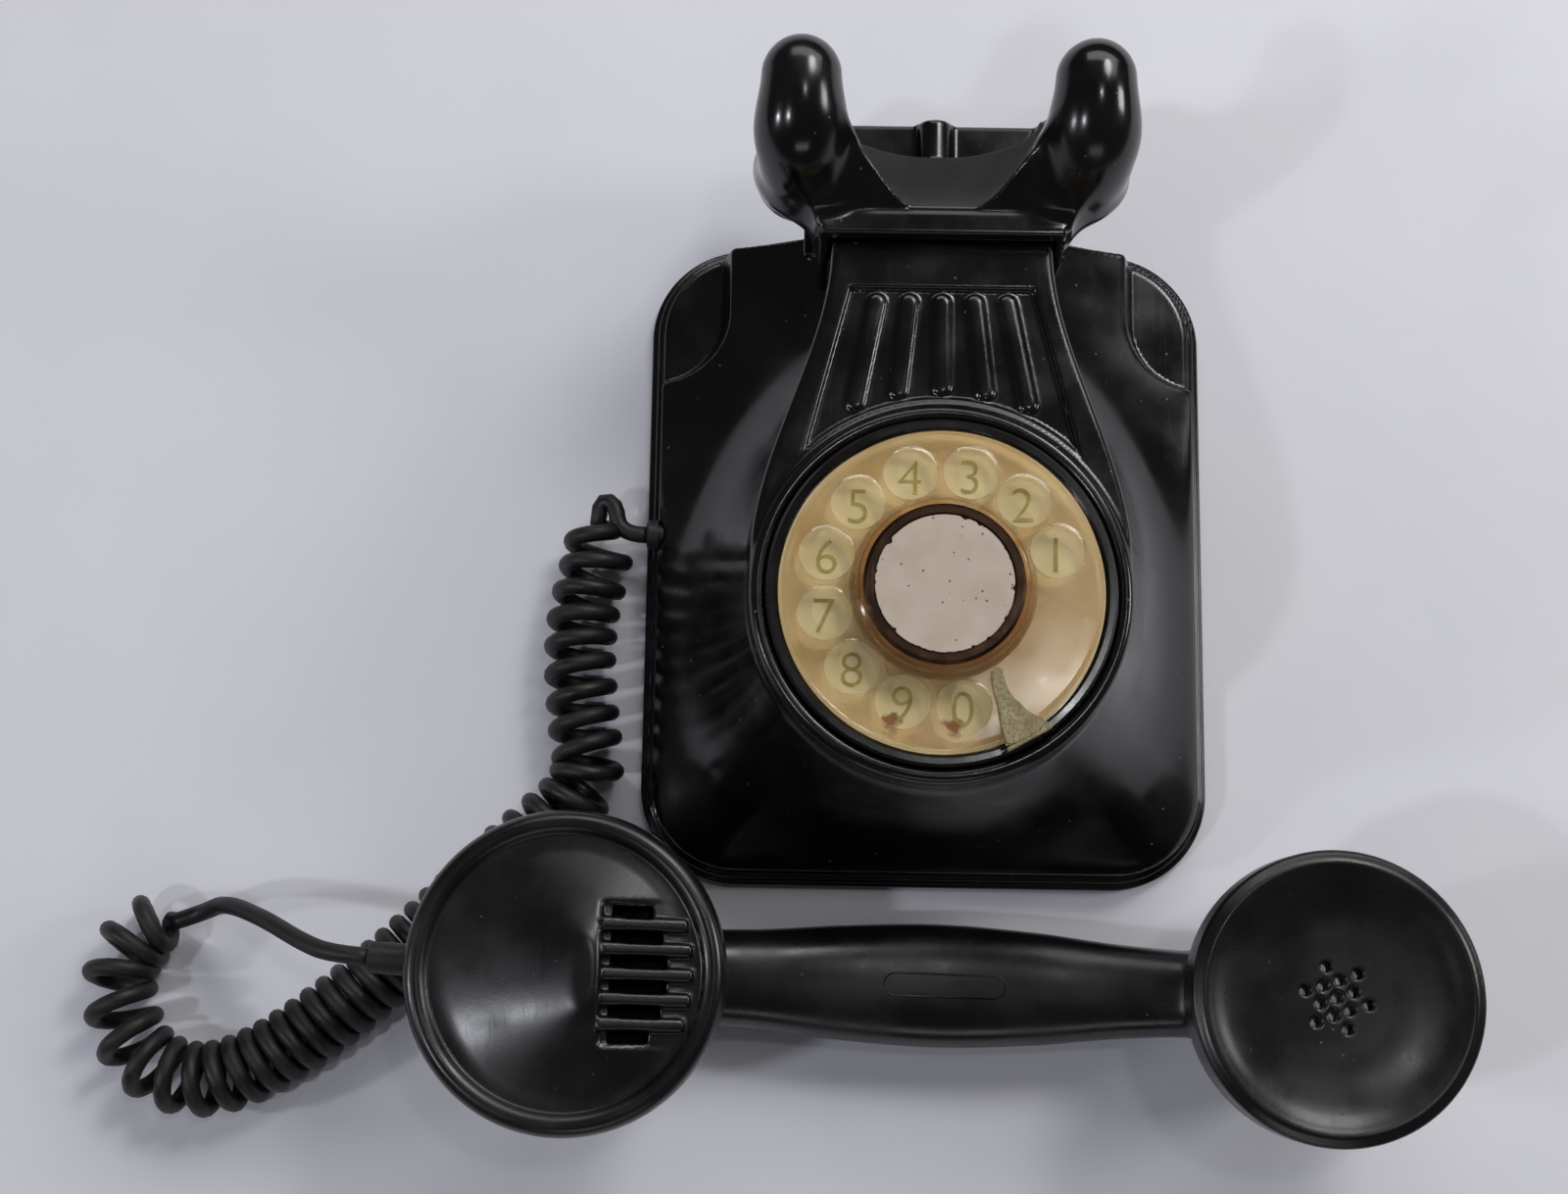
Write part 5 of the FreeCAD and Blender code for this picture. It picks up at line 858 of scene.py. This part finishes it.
def arm_distance(across, y, z):
    """From the thick arm that runs from the sleeve out and up to the bend of a horn, and thickens on its way."""
    run = ARM_HIGH - ARM_LOW
    dx, dy, dz = across - ARM_LOW[0], y - ARM_LOW[1], z - ARM_LOW[2]
    t = np.clip((dx * run[0] + dy * run[1] + dz * run[2]) / (run @ run), 0, 1)
    away = np.sqrt((dx - t * run[0]) ** 2 + (dy - t * run[1]) ** 2 + (dz - t * run[2]) ** 2)
    return away - ARM_RADIUS - (HORN_RADIUS - ARM_RADIUS) * t


print("a horn reaches %.1f mm off the wall" % (BEND_Z + BEND_RADIUS + HORN_RADIUS))

# %% [markdown]
# The saddle is a trough with a flat floor that lifts towards the horns. It is drawn as two profiles in y and z, one
# in the middle and one at the sides. In between, each point of the profile moves from the first to the second.

# %% The saddle
SADDLE_FLOOR = [(71.8, 77.0), (76, 67), (80.5, 58.5), (87, 52), (97, 47.5)]
SADDLE_SIDE = [(85.5, 90.0), (88, 64), (91, 56), (96, 51), (101.5, 48)]


def saddle_distance(x, y, z):
    """From the trough, as the common part of half spaces, one for each run of the profile."""
    rise = ramp(np.abs(x), 7.0, 25.0)
    inside = None
    runs = zip(SADDLE_FLOOR, SADDLE_FLOOR[1:], SADDLE_SIDE, SADDLE_SIDE[1:])
    for (ay, az), (by, bz), (cy, cz), (ey, ez) in runs:
        sy, sz = ay + (cy - ay) * rise, az + (cz - az) * rise
        dy, dz = by + (ey - by) * rise - sy, bz + (ez - bz) * rise - sz
        above = ((y - sy) * -dz + (z - sz) * dy) / np.sqrt(dy * dy + dz * dz)
        inside = above if inside is None else softer(inside, above, 2.5)
    return inside


print("the saddle is %.0f mm lower than the horns" % (BEND_Z + BEND_RADIUS + HORN_RADIUS - SADDLE_FLOOR[3][1]))

# %% [markdown]
# Round the saddle come the plainer parts: the sleeve with its sloped face, and the wings, which are the round cheeks
# under the horns. Then come the band across the front, the skirts that hold the neck from both sides, the ears that
# the side bars end in, and the thin rear wall with its half-round boss.

# %% Parts round the saddle
SLEEVE_HALF, EAR_RADIUS = 30.0, 10.0


def rounded_box(a, b, half_a, half_b, corner):
    """From a rectangle with round corners, about its middle."""
    da, db = np.abs(a) - half_a + corner, np.abs(b) - half_b + corner
    return np.hypot(np.maximum(da, 0), np.maximum(db, 0)) + np.minimum(np.maximum(da, db), 0) - corner


def sleeve(across, y, z):
    """The block over the neck, with its sloped front face and its bowed top edge."""
    face = (z - 76.0 - 0.62 * np.maximum(y - 70.8, 0.0)) * 0.85
    block = common(face, np.maximum(66.6 - y, y - 95.5 - 0.009 * across**2), 0.8)
    return common(np.maximum(block, 36.5 - z), across - SLEEVE_HALF, 1.2)


def wing(across, y, z):
    """The round cheek under a horn, which leans back towards the wall."""
    lean = 0.4 * np.maximum(68.0 - z, 0.0)
    cheek = common(rounded_box(across, y - lean - 84.0, 43.6, 12.4, 12.0), np.abs(z - 50.0) - 19.0, 9.0)
    return np.maximum(cheek, 27.0 - across)


def trim(form, x, across, y, z):
    """The form with its band, skirts, ears, rear wall and boss."""
    band = common(rounded_box(y - 68.7, z - 70.0, 2.1, 6.3, 0.7), across - 30.2, 0.7)
    form = softer(form, band, 0.3)
    skirt = np.maximum(np.abs(across - 28.35) - 1.1, np.maximum(39.0 - z, z - 75.0))
    skirt = common(skirt, np.maximum(62.4 - y + np.maximum(z - 60.0, 0) * 0.26, y - 72.0), 0.8)
    form = softer(form, skirt, 0.8)
    ear = np.hypot(across - HORN_X, y - np.clip(y, 92.0, 99.6)) - EAR_RADIUS
    form = softer(form, common(ear, z - 44.0, 1.5), 1.5)
    rear = common(np.maximum(np.abs(z - 38.2) - 1.9, across - 33.0), np.maximum(71.5 - y, y - 106.8), 0.8)
    form = softer(form, rear, 1.5)
    boss = common(np.hypot(x, z - 40.0) - 4.4, np.maximum(89.0 - y, y - 106.9), 0.8)
    return softer(form, boss, 1.5)


print("the cheeks are %.1f mm apart outside" % (2 * 43.6))

# %% [markdown]
# The saddle is cut after the sleeve, the wings and the horns have grown together, but it must not bite into the
# horns, so it is cut only where the horns are at least 2.5 mm away. Last come the room for the neck, the front lip,
# and the two bores for the rods that press on the hook switch.

# %% The fork's field
def fork_field(x, y, z):
    """The whole fork, open towards the wall."""
    across = np.abs(x)
    saddle = saddle_distance(x, y, z)
    horn = softer(horn_distance(across, y, np.maximum(z, 46.0)), arm_distance(across, y, z), 6.0)
    form = softer(common(sleeve(across, y, z), saddle, 1.6), softer(wing(across, y, z), horn, 8.0), 6.0)
    form = common(form, np.minimum(saddle, horn - 2.5), 1.2)
    form = trim(form, x, across, y, z)
    neck = np.maximum(np.maximum(across - 27.3, y - 70.6), z - 70.8)
    form = without(form, neck, 0.3)
    lip = common(rounded_box(y - 67.5, z - 73.9, 2.6, 2.4, 0.7), across - 29.2, 0.7)
    form = softer(form, lip, 0.3)
    rods = np.maximum(np.hypot(across - 14.0, z - 54.0) - 2.45, y - 76.05)
    return np.maximum(np.maximum(form, -rods), 36.1 - z)


fork = from_field("fork_moulding", fork_field, (-47, 60, 34.5), (47, 111.5, 101.5), 0.6)
dress(fork, "cradle", black, "phenolic", "fork")

# %% [markdown]
# The floor of the saddle has been rubbed matt by the handset. Its faces are found with the same field: they lie on
# the trough, in its middle part, and look up along the wall. A second material on the same mesh keeps the moulding
# in one piece.

# %% The rubbed saddle
fork.data.materials.append(rubbed_black)
middles, facing = np.empty(3 * len(fork.data.polygons)), np.empty(3 * len(fork.data.polygons))
fork.data.polygons.foreach_get("center", middles)
fork.data.polygons.foreach_get("normal", facing)
middles, facing = middles.reshape(-1, 3) / MM, facing.reshape(-1, 3)
rubbed = (np.abs(saddle_distance(*middles.T)) < 1.4) & (np.abs(middles[:, 0]) < 27.0) & (facing[:, 1] > 0.3)
fork.data.polygons.foreach_set("material_index", rubbed.astype(int))
print("faces of the saddle:", rubbed.sum())

# %% [markdown]
# ## The handset
# The grip and both cups are one moulding. The grip is an oval bar with a flattened front that swells in the middle
# and runs into the cups in soft fillets. It is modelled along its own length, in u, v and z, and then laid in place
# on the table, turned by one degree.

# %% From the handset's own points to the frame's
HANDSET_MIDDLE, HANDSET_TURN = (3.0, -109.7), math.radians(-1.0)
CUP = 88.5


def laid(points):
    """Points of the handset, in millimetres, where they lie in the frame."""
    cos, sin = math.cos(HANDSET_TURN), math.sin(HANDSET_TURN)
    u, v = points[:, 0], points[:, 1]
    x, y = HANDSET_MIDDLE
    return np.stack([x + u * cos - v * sin, y + u * sin + v * cos, points[:, 2]], axis=1)


def laid_beside(place):
    """The same for a cap whose middle lies at that place along the handset."""
    return lambda points: laid(points + np.array([place, 0.0, 0.0]))


print("mouth end at", laid(np.array([[-CUP, 0.0, 0.0]])).round(1)[0])

# %% [markdown]
# A cup is a round body whose radius follows a curve through a few heights, with a thinner threaded neck for its cap
# and a hollow for the capsule. The grip is a bar along which the middle, the half width and the half height follow
# such curves, and its section is an oval of power 3, which is flatter in front than an ellipse.

# %% Cups and grip
MOUTH_CUP = (3, 5, 19, 35, 52), (12, 16.5, 25, 31, 35.2), 3.0
EAR_CUP = (7, 9, 25, 38, 52), (12, 16.5, 24.5, 29, 31.7), 7.0
PLACES = (-80.5, -62, -46, -24, 0, 24, 46, 62, 80.5)
GRIP_MIDDLE = (21, 17.6, 14, 11.4, 10.6, 11.2, 12.6, 15.4, 19.5)
GRIP_ACROSS = (12.5, 12, 12.4, 14.2, 15.25, 14, 11.6, 10.6, 11)
GRIP_HEIGHT = (14, 13.2, 12.6, 11.2, 10.5, 11, 11.4, 11.8, 12.5)


def cup_distance(u, v, z, place, heights, radii, foot):
    """From a cup, from its neck and from its hollow."""
    around = np.hypot(u - place, v)
    outer = around - eased(z, heights, radii)
    form = common(outer, foot - z, 2.0)
    form = np.maximum(form, z - 52.0)
    neck = np.maximum(around - (radii[-1] - 2.6), np.maximum(z - 57.8, 50.0 - z))
    hollow = np.maximum(outer + 3.2, foot + 5.0 - z)
    hollow = np.minimum(hollow, np.maximum(around - radii[-1] + 5.4, 46.0 - z))
    return form, neck, hollow


def grip_distance(u, v, z):
    """From the grip."""
    middle, across, upwards = (eased(u, PLACES, values) for values in (GRIP_MIDDLE, GRIP_ACROSS, GRIP_HEIGHT))
    power = 3.0
    ratio = (np.abs(v / across) ** power + np.abs((z - middle) / upwards) ** power) ** (1 / power)
    return np.maximum((ratio - 1) * np.minimum(across, upwards), np.abs(u) - 84)


print("the grip is %.1f mm wide and %.1f mm thick in the middle" % (2 * GRIP_ACROSS[4], 2 * GRIP_HEIGHT[4]))

# %% [markdown]
# The cord comes in through a round collar at the end of the mouth cup, and the wires to the receiver run through a
# bore in the grip.

# %% The handset's field
OUTLET = math.radians(177.5)
OUTLET_HEIGHT = 42.0


def handset_field(u, v, z):
    """The whole handset, in its own coordinates."""
    mouth = cup_distance(u, v, z, -CUP, *MOUTH_CUP)
    ear = cup_distance(u, v, z, CUP, *EAR_CUP)
    form = softer(grip_distance(u, v, z), softer(mouth[0], ear[0], 1.0), 6.0)
    form = np.minimum(form, np.minimum(mouth[1], ear[1]))
    form = np.maximum(form, -np.minimum(mouth[2], ear[2]))
    along = (u + CUP) * math.cos(OUTLET) + v * math.sin(OUTLET)
    beside = (u + CUP) * -math.sin(OUTLET) + v * math.cos(OUTLET)
    collar = common(np.hypot(beside, z - OUTLET_HEIGHT) - 5.0, np.abs(along - 32.0) - 2.4, 0.8)
    form = softer(form, collar, 1.5)
    form = np.maximum(form, -np.maximum(np.hypot(beside, z - OUTLET_HEIGHT) - 2.95, 25.0 - along))
    wires = np.maximum(np.hypot(v, z - 14.0) - 2.6, np.abs(u) - 77.0)
    return np.maximum(form, -wires)


body = from_field("handset_moulding", handset_field, (-127, -38, -1.5), (124, 38, 60), 0.8, laid)
dress(body, "handset", dull_black, "phenolic", "handset_body")

# %% [markdown]
# A fine bead frames a blank oval on the grip. It is finer than the grid of the field, so it is a thin wire of the
# same phenolic, laid on the surface: the height of the surface under each of its points is found by halving an
# interval again and again.

# %% The oval bead
OVAL_ENDS, OVAL_RADIUS = ((13.7, -90), (-10.7, 90)), 2.75
BEAD_RADIUS = 0.24 * MM
outline = []
for end, first in OVAL_ENDS:
    for k in range(13):
        angle = math.radians(first + 15 * k)
        outline.append((end + OVAL_RADIUS * math.cos(angle), OVAL_RADIUS * math.sin(angle)))
outline = np.array(outline + outline[:1])
low, high = np.full(len(outline), 15.0), np.full(len(outline), 26.0)
for _ in range(24):
    middle = (low + high) / 2
    inside = handset_field(outline[:, 0], outline[:, 1], middle) < 0
    low, high = np.where(inside, middle, low), np.where(inside, high, middle)
bead = tube("oval_bead", laid(np.column_stack([outline, low - 0.05])) * MM, BEAD_RADIUS, 8)
bead.data.materials.append(dull_black)
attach(bead, "handset")

# %% [markdown]
# ## The mouth cap
# The mouth cap has a dished rim and a low cone that leans towards the grip and is cut off by a step. Behind the step
# a comb of five rounded bars lies over six slots, which let the voice through. Bars and slots share one pitch, with
# the slots half a pitch off. The outer ones are shorter, because the cone's foot is round.

# %% The cone, bars and slots
PITCH, COMB_START = 5.6, 9.0
BARS, SLOTS = [(i - 2.0) * PITCH for i in range(5)], [(i - 2.5) * PITCH for i in range(6)]


def cone_distance(u, v, z):
    """From the cone, with the notch for the comb cut out of it."""
    t = np.clip((z - 62.2) / 7.0, 0.0, 1.0)
    half_u, half_v = 29.4 + (1.6 - 29.4) * t, 29.4 + (7.0 - 29.4) * t
    cone = (np.hypot((u - 5.2 * t) / half_u, v / half_v) - 1) * (half_u * 0.5 + half_v * 0.5)
    cone = common(cone * 0.24, np.maximum(z - 69.0, 60.0 - z), 0.4)
    notch = common(8.9 - u, np.abs(v) - 15.7, 1.5)
    notch = common(notch, (z - 65.2 + (u - COMB_START) * 0.14) * -1, 0.6)
    return without(cone, notch, 1.6)


def bar_distance(u, v, z, place):
    """From the bar at that place, which sinks from the step down to the rim."""
    end = 28.6 - 0.4 * (place / PITCH) ** 2
    t = np.clip((u - COMB_START) / (end - COMB_START), 0.0, 1.0)
    along = np.hypot(np.maximum(np.abs(v - place) - 0.6, 0.0), u - COMB_START - t * (end - COMB_START))
    return np.hypot(along, np.maximum(np.abs(z - 66.1 + 3.7 * t) - 0.5, 0.0)) - 0.95


def slot_distance(u, v, z, place):
    """From the slot at that place."""
    end = 23.7 - 0.6 * (place / PITCH) ** 2
    hole = common(np.abs(v - place) - 1.5, np.abs(u - (end + 10.6) / 2) - (end - 10.6) / 2, 0.8)
    return np.maximum(hole, z - 66.0)


print("bars at", [round(place, 1) for place in BARS])

# %% [markdown]
# The cap is turned on a lathe, so to speak: a disc, a round rim and a sunk floor about one middle. The cone with its
# bars is laid into it, and the slots go through both.

# %% The mouth cap's field
def mouth_cap_field(u, v, z):
    """The whole mouth cap, about its own middle."""
    around = np.hypot(u, v)
    form = common(around - 37.1, np.abs(z - 56.3) - 4.4, 0.6)
    rim = (np.hypot((around - 34.1) / 2.9, np.maximum(z - 60.9, 0) / 3.2) - 1) * 2.9
    form = softer(form, np.maximum(rim, 52.0 - z), 0.4)
    form = softer(form, np.maximum(around - 32.0, np.maximum(z - 62.4, 58.6 - z)), 0.5)
    cone = cone_distance(u, v, z)
    for place in BARS:
        cone = softer(cone, bar_distance(u, v, z, place), 0.7)
    form = softer(form, cone, 0.5)
    for place in SLOTS:
        form = without(form, slot_distance(u, v, z, place), 0.4)
    hollow = np.maximum(around - 32.7, z - 58.6)
    return np.maximum(np.maximum(form, -hollow), 51.95 - z)


mouth = from_field(
    "mouth_cap_moulding", mouth_cap_field, (-38.5, -38.5, 51), (38.5, 38.5, 71), 0.5, laid_beside(-CUP)
)
dress(mouth, "handset", dull_black, "phenolic", "mouth_cap")

# %% [markdown]
# ## The ear cap
# The ear cap is a shallow dish with a rounded rim and thirteen drilled holes, one in the middle and two rings of six.

# %% The ear cap's field
HOLE_RADIUS, HOLE_RINGS = 1.2, ((4.1, 19), (7.4, 49))
DISH = (0, 12, 20, 26, 29.2, 31.0, 32.6), (60.4, 60.7, 61.3, 62.5, 63.6, 64.0, 63.2)
holes = [(0.0, 0.0)]
for radius, first in HOLE_RINGS:
    for k in range(6):
        angle = math.radians(first + 60 * k)
        holes.append((radius * math.cos(angle), radius * math.sin(angle)))


def ear_cap_field(u, v, z):
    """The whole ear cap, about its own middle."""
    around = np.hypot(u, v)
    form = common(around - 33.65, z - eased(around, *DISH), 1.6)
    form = common(form, 52.0 - z, 0.5)
    hollow = np.maximum(around - 29.25, z - 58.6)
    form = np.maximum(form, -hollow)
    for hole_u, hole_v in holes:
        form = without(form, np.hypot(u - hole_u, v - hole_v) - HOLE_RADIUS, 0.5)
    return form


ear = from_field("ear_cap_moulding", ear_cap_field, (-35, -35, 51), (35, 35, 65.5), 0.5, laid_beside(CUP))
dress(ear, "handset", dull_black, "phenolic", "ear_cap")

# %% [markdown]
# ## The card
# A disc of lacquered card lies in the hub's ring. Handling has chipped its edge. A picture with a ragged mask could
# show that, but the chips are real gaps, so the outline itself has them: its radius drops in small bites where
# flakes have gone. Two noises of different size, taken round the circle, say where.

# %% A flat piece with a broken edge
def plate_between(name, outline, low, high, edge):
    """A flat piece with that outline in millimetres from the dial's middle, its upper edge broken."""
    mesh = bmesh.new()
    rings = [[mesh.verts.new((x * MM, (y + DIAL_Y) * MM, z)) for x, y in outline] for z in (low, high)]
    for k in range(len(outline)):
        j = (k + 1) % len(outline)
        mesh.faces.new((rings[0][k], rings[0][j], rings[1][j], rings[1][k]))
    mesh.faces.new(rings[0][::-1])
    mesh.faces.new(rings[1])
    upper = [e for e in mesh.edges if e.verts[0] in rings[1] and e.verts[1] in rings[1]]
    bmesh.ops.bevel(mesh, geom=upper, offset=edge * MM, segments=2, affect="EDGES")
    print(f"{name}: {len(outline)} points round, {len(mesh.faces)} faces")
    return as_object(name, mesh, smooth=False)


# %% [markdown]
# The card fills the height that its solid has in the frame, and only its outline is new.

# %% The card
CARD_RADIUS = 15.9
card_low, card_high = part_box("dial_card")
outline = []
for k in range(360):
    aim = Vector((math.cos(math.radians(k)), math.sin(math.radians(k)), 0.0))
    flake = max(noise.noise(aim * 9.0) - 0.25, 0.0) * 1.6 + max(noise.noise(aim * 31.0) - 0.3, 0.0) * 1.2
    outline.append(tuple(aim.xy * (CARD_RADIUS - flake)))
card = plate_between("hub_card", outline, card_low[2], card_high[2], 0.12)
dress(card, "dial", finishes["card"], "card", "dial_card")

# %% [markdown]
# ## The finger stop
# The finger stop is a claw pressed from brass sheet: its blade reaches in over the wheel, and its leg stands on the
# case outside the wheel. The blade's outline is a free curve, so it is drawn point by point. Its upper edge is
# broken, as pressing leaves it, and the two parts are joined into one piece.

# %% The finger stop
stop_low, stop_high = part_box("finger_stop")
claw = [
    (11.7, -18.7), (12.4, -18.7), (13.3, -19.1), (13.6, -20.6), (14.1, -22.4), (14.9, -24.1), (16.0, -25.7),
    (17.2, -27.1), (18.7, -28.3), (20.3, -29.2), (22.0, -29.9), (23.6, -31.1), (20.9, -33.2), (18.8, -34.5),
    (16.5, -35.7), (14.1, -36.5), (13.2, -32.8), (12.8, -30.0), (12.3, -27.3), (11.6, -24.9), (11.1, -22.9),
    (10.8, -21.2), (10.9, -19.6),
]
foot = [(14.3, -36.9), (24.0, -31.4), (24.6, -32.2), (14.6, -37.8)]
blade = plate_between("finger_stop_blade", claw[::-1], stop_high[2] - 1.5 * MM, stop_high[2], 0.4)
leg = plate_between("finger_stop_leg", foot, stop_low[2], stop_high[2] - 0.3 * MM, 0.2)
claw_mesh = bmesh.new()
for part in (blade, leg):
    claw_mesh.from_mesh(part.data)
    bpy.data.objects.remove(part)
stop = as_object("finger_stop_claw", claw_mesh, smooth=False)
dress(stop, "base", finishes["stop_brass"], "stop_brass", "finger_stop")

# %% [markdown]
# ## Numerals
# The ten numerals on the number plate are plain upright strokes, printed in olive yellow, one under each finger hole.
# A picture could carry them, but text turned into meshes stays sharp however near the camera comes. Each figure is
# set with a little thickness, laid at equal steps on the holes' circle and joined to the rest. The ink is worn thin,
# so it hardly stands out from the cream.

# %% Numerals
HOLE_CIRCLE, FIRST_HOLE, HOLE_STEP = 27.9, 18.7, 29.04
NUMERAL_HEIGHT, PLATE_TOP = 8.0, 71.26
numerals = bmesh.new()
for index, figure in enumerate("1234567890"):
    text = bpy.data.curves.new("figure", "FONT")
    text.body = figure
    text.size = 0.011
    text.extrude = 0.06 * MM
    text.offset = -0.00012
    holder = bpy.data.objects.new("figure", text)
    shape = bpy.data.meshes.new_from_object(holder)
    bpy.data.objects.remove(holder)
    points = np.array([v.co for v in shape.vertices])
    low, high = points.min(axis=0), points.max(axis=0)
    scale = NUMERAL_HEIGHT * MM / (high[1] - low[1])
    aim = math.radians(FIRST_HOLE + HOLE_STEP * index)
    middle = Vector((HOLE_CIRCLE * math.cos(aim), DIAL_Y + HOLE_CIRCLE * math.sin(aim), PLATE_TOP)) * MM
    for vertex in shape.vertices:
        x, y = vertex.co.x - (low[0] + high[0]) / 2, vertex.co.y - (low[1] + high[1]) / 2
        vertex.co = middle + Vector((x * scale, y * scale, 0)) + Vector((0, 0, vertex.co.z))
    numerals.from_mesh(shape)
    bpy.data.meshes.remove(shape)
numerals = as_object("numerals", numerals, smooth=False)
# Ink printed on enamel: close to the cream in tone, a little greener, satin.
numerals.data.materials.append(plain_finish("ink_olive_yellow", ("#C4B25C", "#A69447"), 2.5, 0.35, 0.5, 0.02, 0.5))
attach(numerals, "base")
print("numerals:", len(numerals.data.polygons), "faces")

# %% [markdown]
# ## Floor
# A sheet of pale matt paper lies under the telephone. Its fibres are too fine to see from here, so the bump is drawn
# with grains of 0.6 mm, just enough to keep it from looking like glass.

# %% Floor
sheet_mesh = bmesh.new()
bmesh.ops.create_grid(sheet_mesh, x_segments=8, y_segments=8, size=3.0)
floor = as_object("floor", sheet_mesh)
paper, tree, shader, place = start("paper_pale_matt")
white = add(tree, "Mix", {FACTOR: cloud(tree, place, 60.0, 0.0, 1.0), FIRST: "#EFEFF8", SECOND: "#F2F2F9"}, **RGBA)
fibres = add(tree, "Bump", {"Height": cloud(tree, place, 0.6, 0.0, 1.0), "Strength": 0.3, "Distance": 0.02 * MM})
feed(tree, shader, {"Base Color": white, "Roughness": cloud(tree, place, 5.0, 0.75, 0.9), "Normal": fibres})
floor.data.materials.append(paper)
print("floor:", [round(v, 1) for v in floor.dimensions], "m")

# %% [markdown]
# ## Light
# The photograph has soft light from the right and from above, which lays the shadows of the fork and the ear cap to
# the right and leaves the left side a little darker, and two small lamps at the left that put the twin spots on the
# horns. A picture of a room all round could light it too, but lamps can be placed one by one. Their sizes matter as
# much as their powers: in glossy black, the lamps themselves are what the eye sees. The Standard view keeps the
# blacks as deep and the paper as pale as a plain photograph does.

# %% Lamps
scene.view_settings.view_transform = "Standard"


def lamp(name, place, aim, size, power, colour="#FFFFFF"):
    """A rectangular soft lamp that points at a spot. Places and sizes are in metres, power is in watts."""
    data = bpy.data.lights.new(name, "AREA")
    data.shape = "RECTANGLE"
    data.size, data.size_y = size
    data.energy = power
    data.color = linear(colour)[:3]
    made = bpy.data.objects.new(name, data)
    made.location = place
    made.rotation_euler = (Vector(aim) - Vector(place)).to_track_quat("-Z", "Y").to_euler()
    scene.collection.objects.link(made)
    print(f"{name}: {power} W")


lamp("lamp_right", (1.05, 0.15, 0.65), (0.0, 0.0, 0.0), (0.3, 0.3), 2.9, "#FFFDFA")
lamp("lamp_far_right", (0.50, 0.65, 1.05), (0.0, 0.0, 0.0), (0.3, 0.3), 3.4, "#FFFDFA")
lamp("lamp_top", (0.20, 0.80, 0.75), (0.0, 0.0, 0.0), (1.4, 0.5), 4.8)
lamp("lamp_left", (-0.71, -0.39, 1.04), (-0.08, -0.1, 0.0), (0.07, 0.07), 1.8, "#F4F6FF")
lamp("lamp_low_left", (-1.05, -0.20, 0.60), (0.0, 0.0, 0.0), (0.08, 0.08), 1.6, "#F4F6FF")
lamp("lamp_front", (0.05, -1.0, 0.55), (0.0, -0.1, 0.0), (0.6, 0.2), 0.5)
lamp("lamp_over", (0.18, 0.09, 1.27), (0.02, -0.04, 0.07), (0.08, 0.08), 0.6)

# %% [markdown]
# A faint cool sky all round stands for the light that the walls of a room throw back.

# %% The room's own light
world = bpy.data.worlds.new("studio")
scene.world = world
world.use_nodes = True
feed(world.node_tree, world.node_tree.nodes["Background"], {"Color": "#C8CAD2", "Strength": 0.09})
print("lamps:", len(bpy.data.lights))
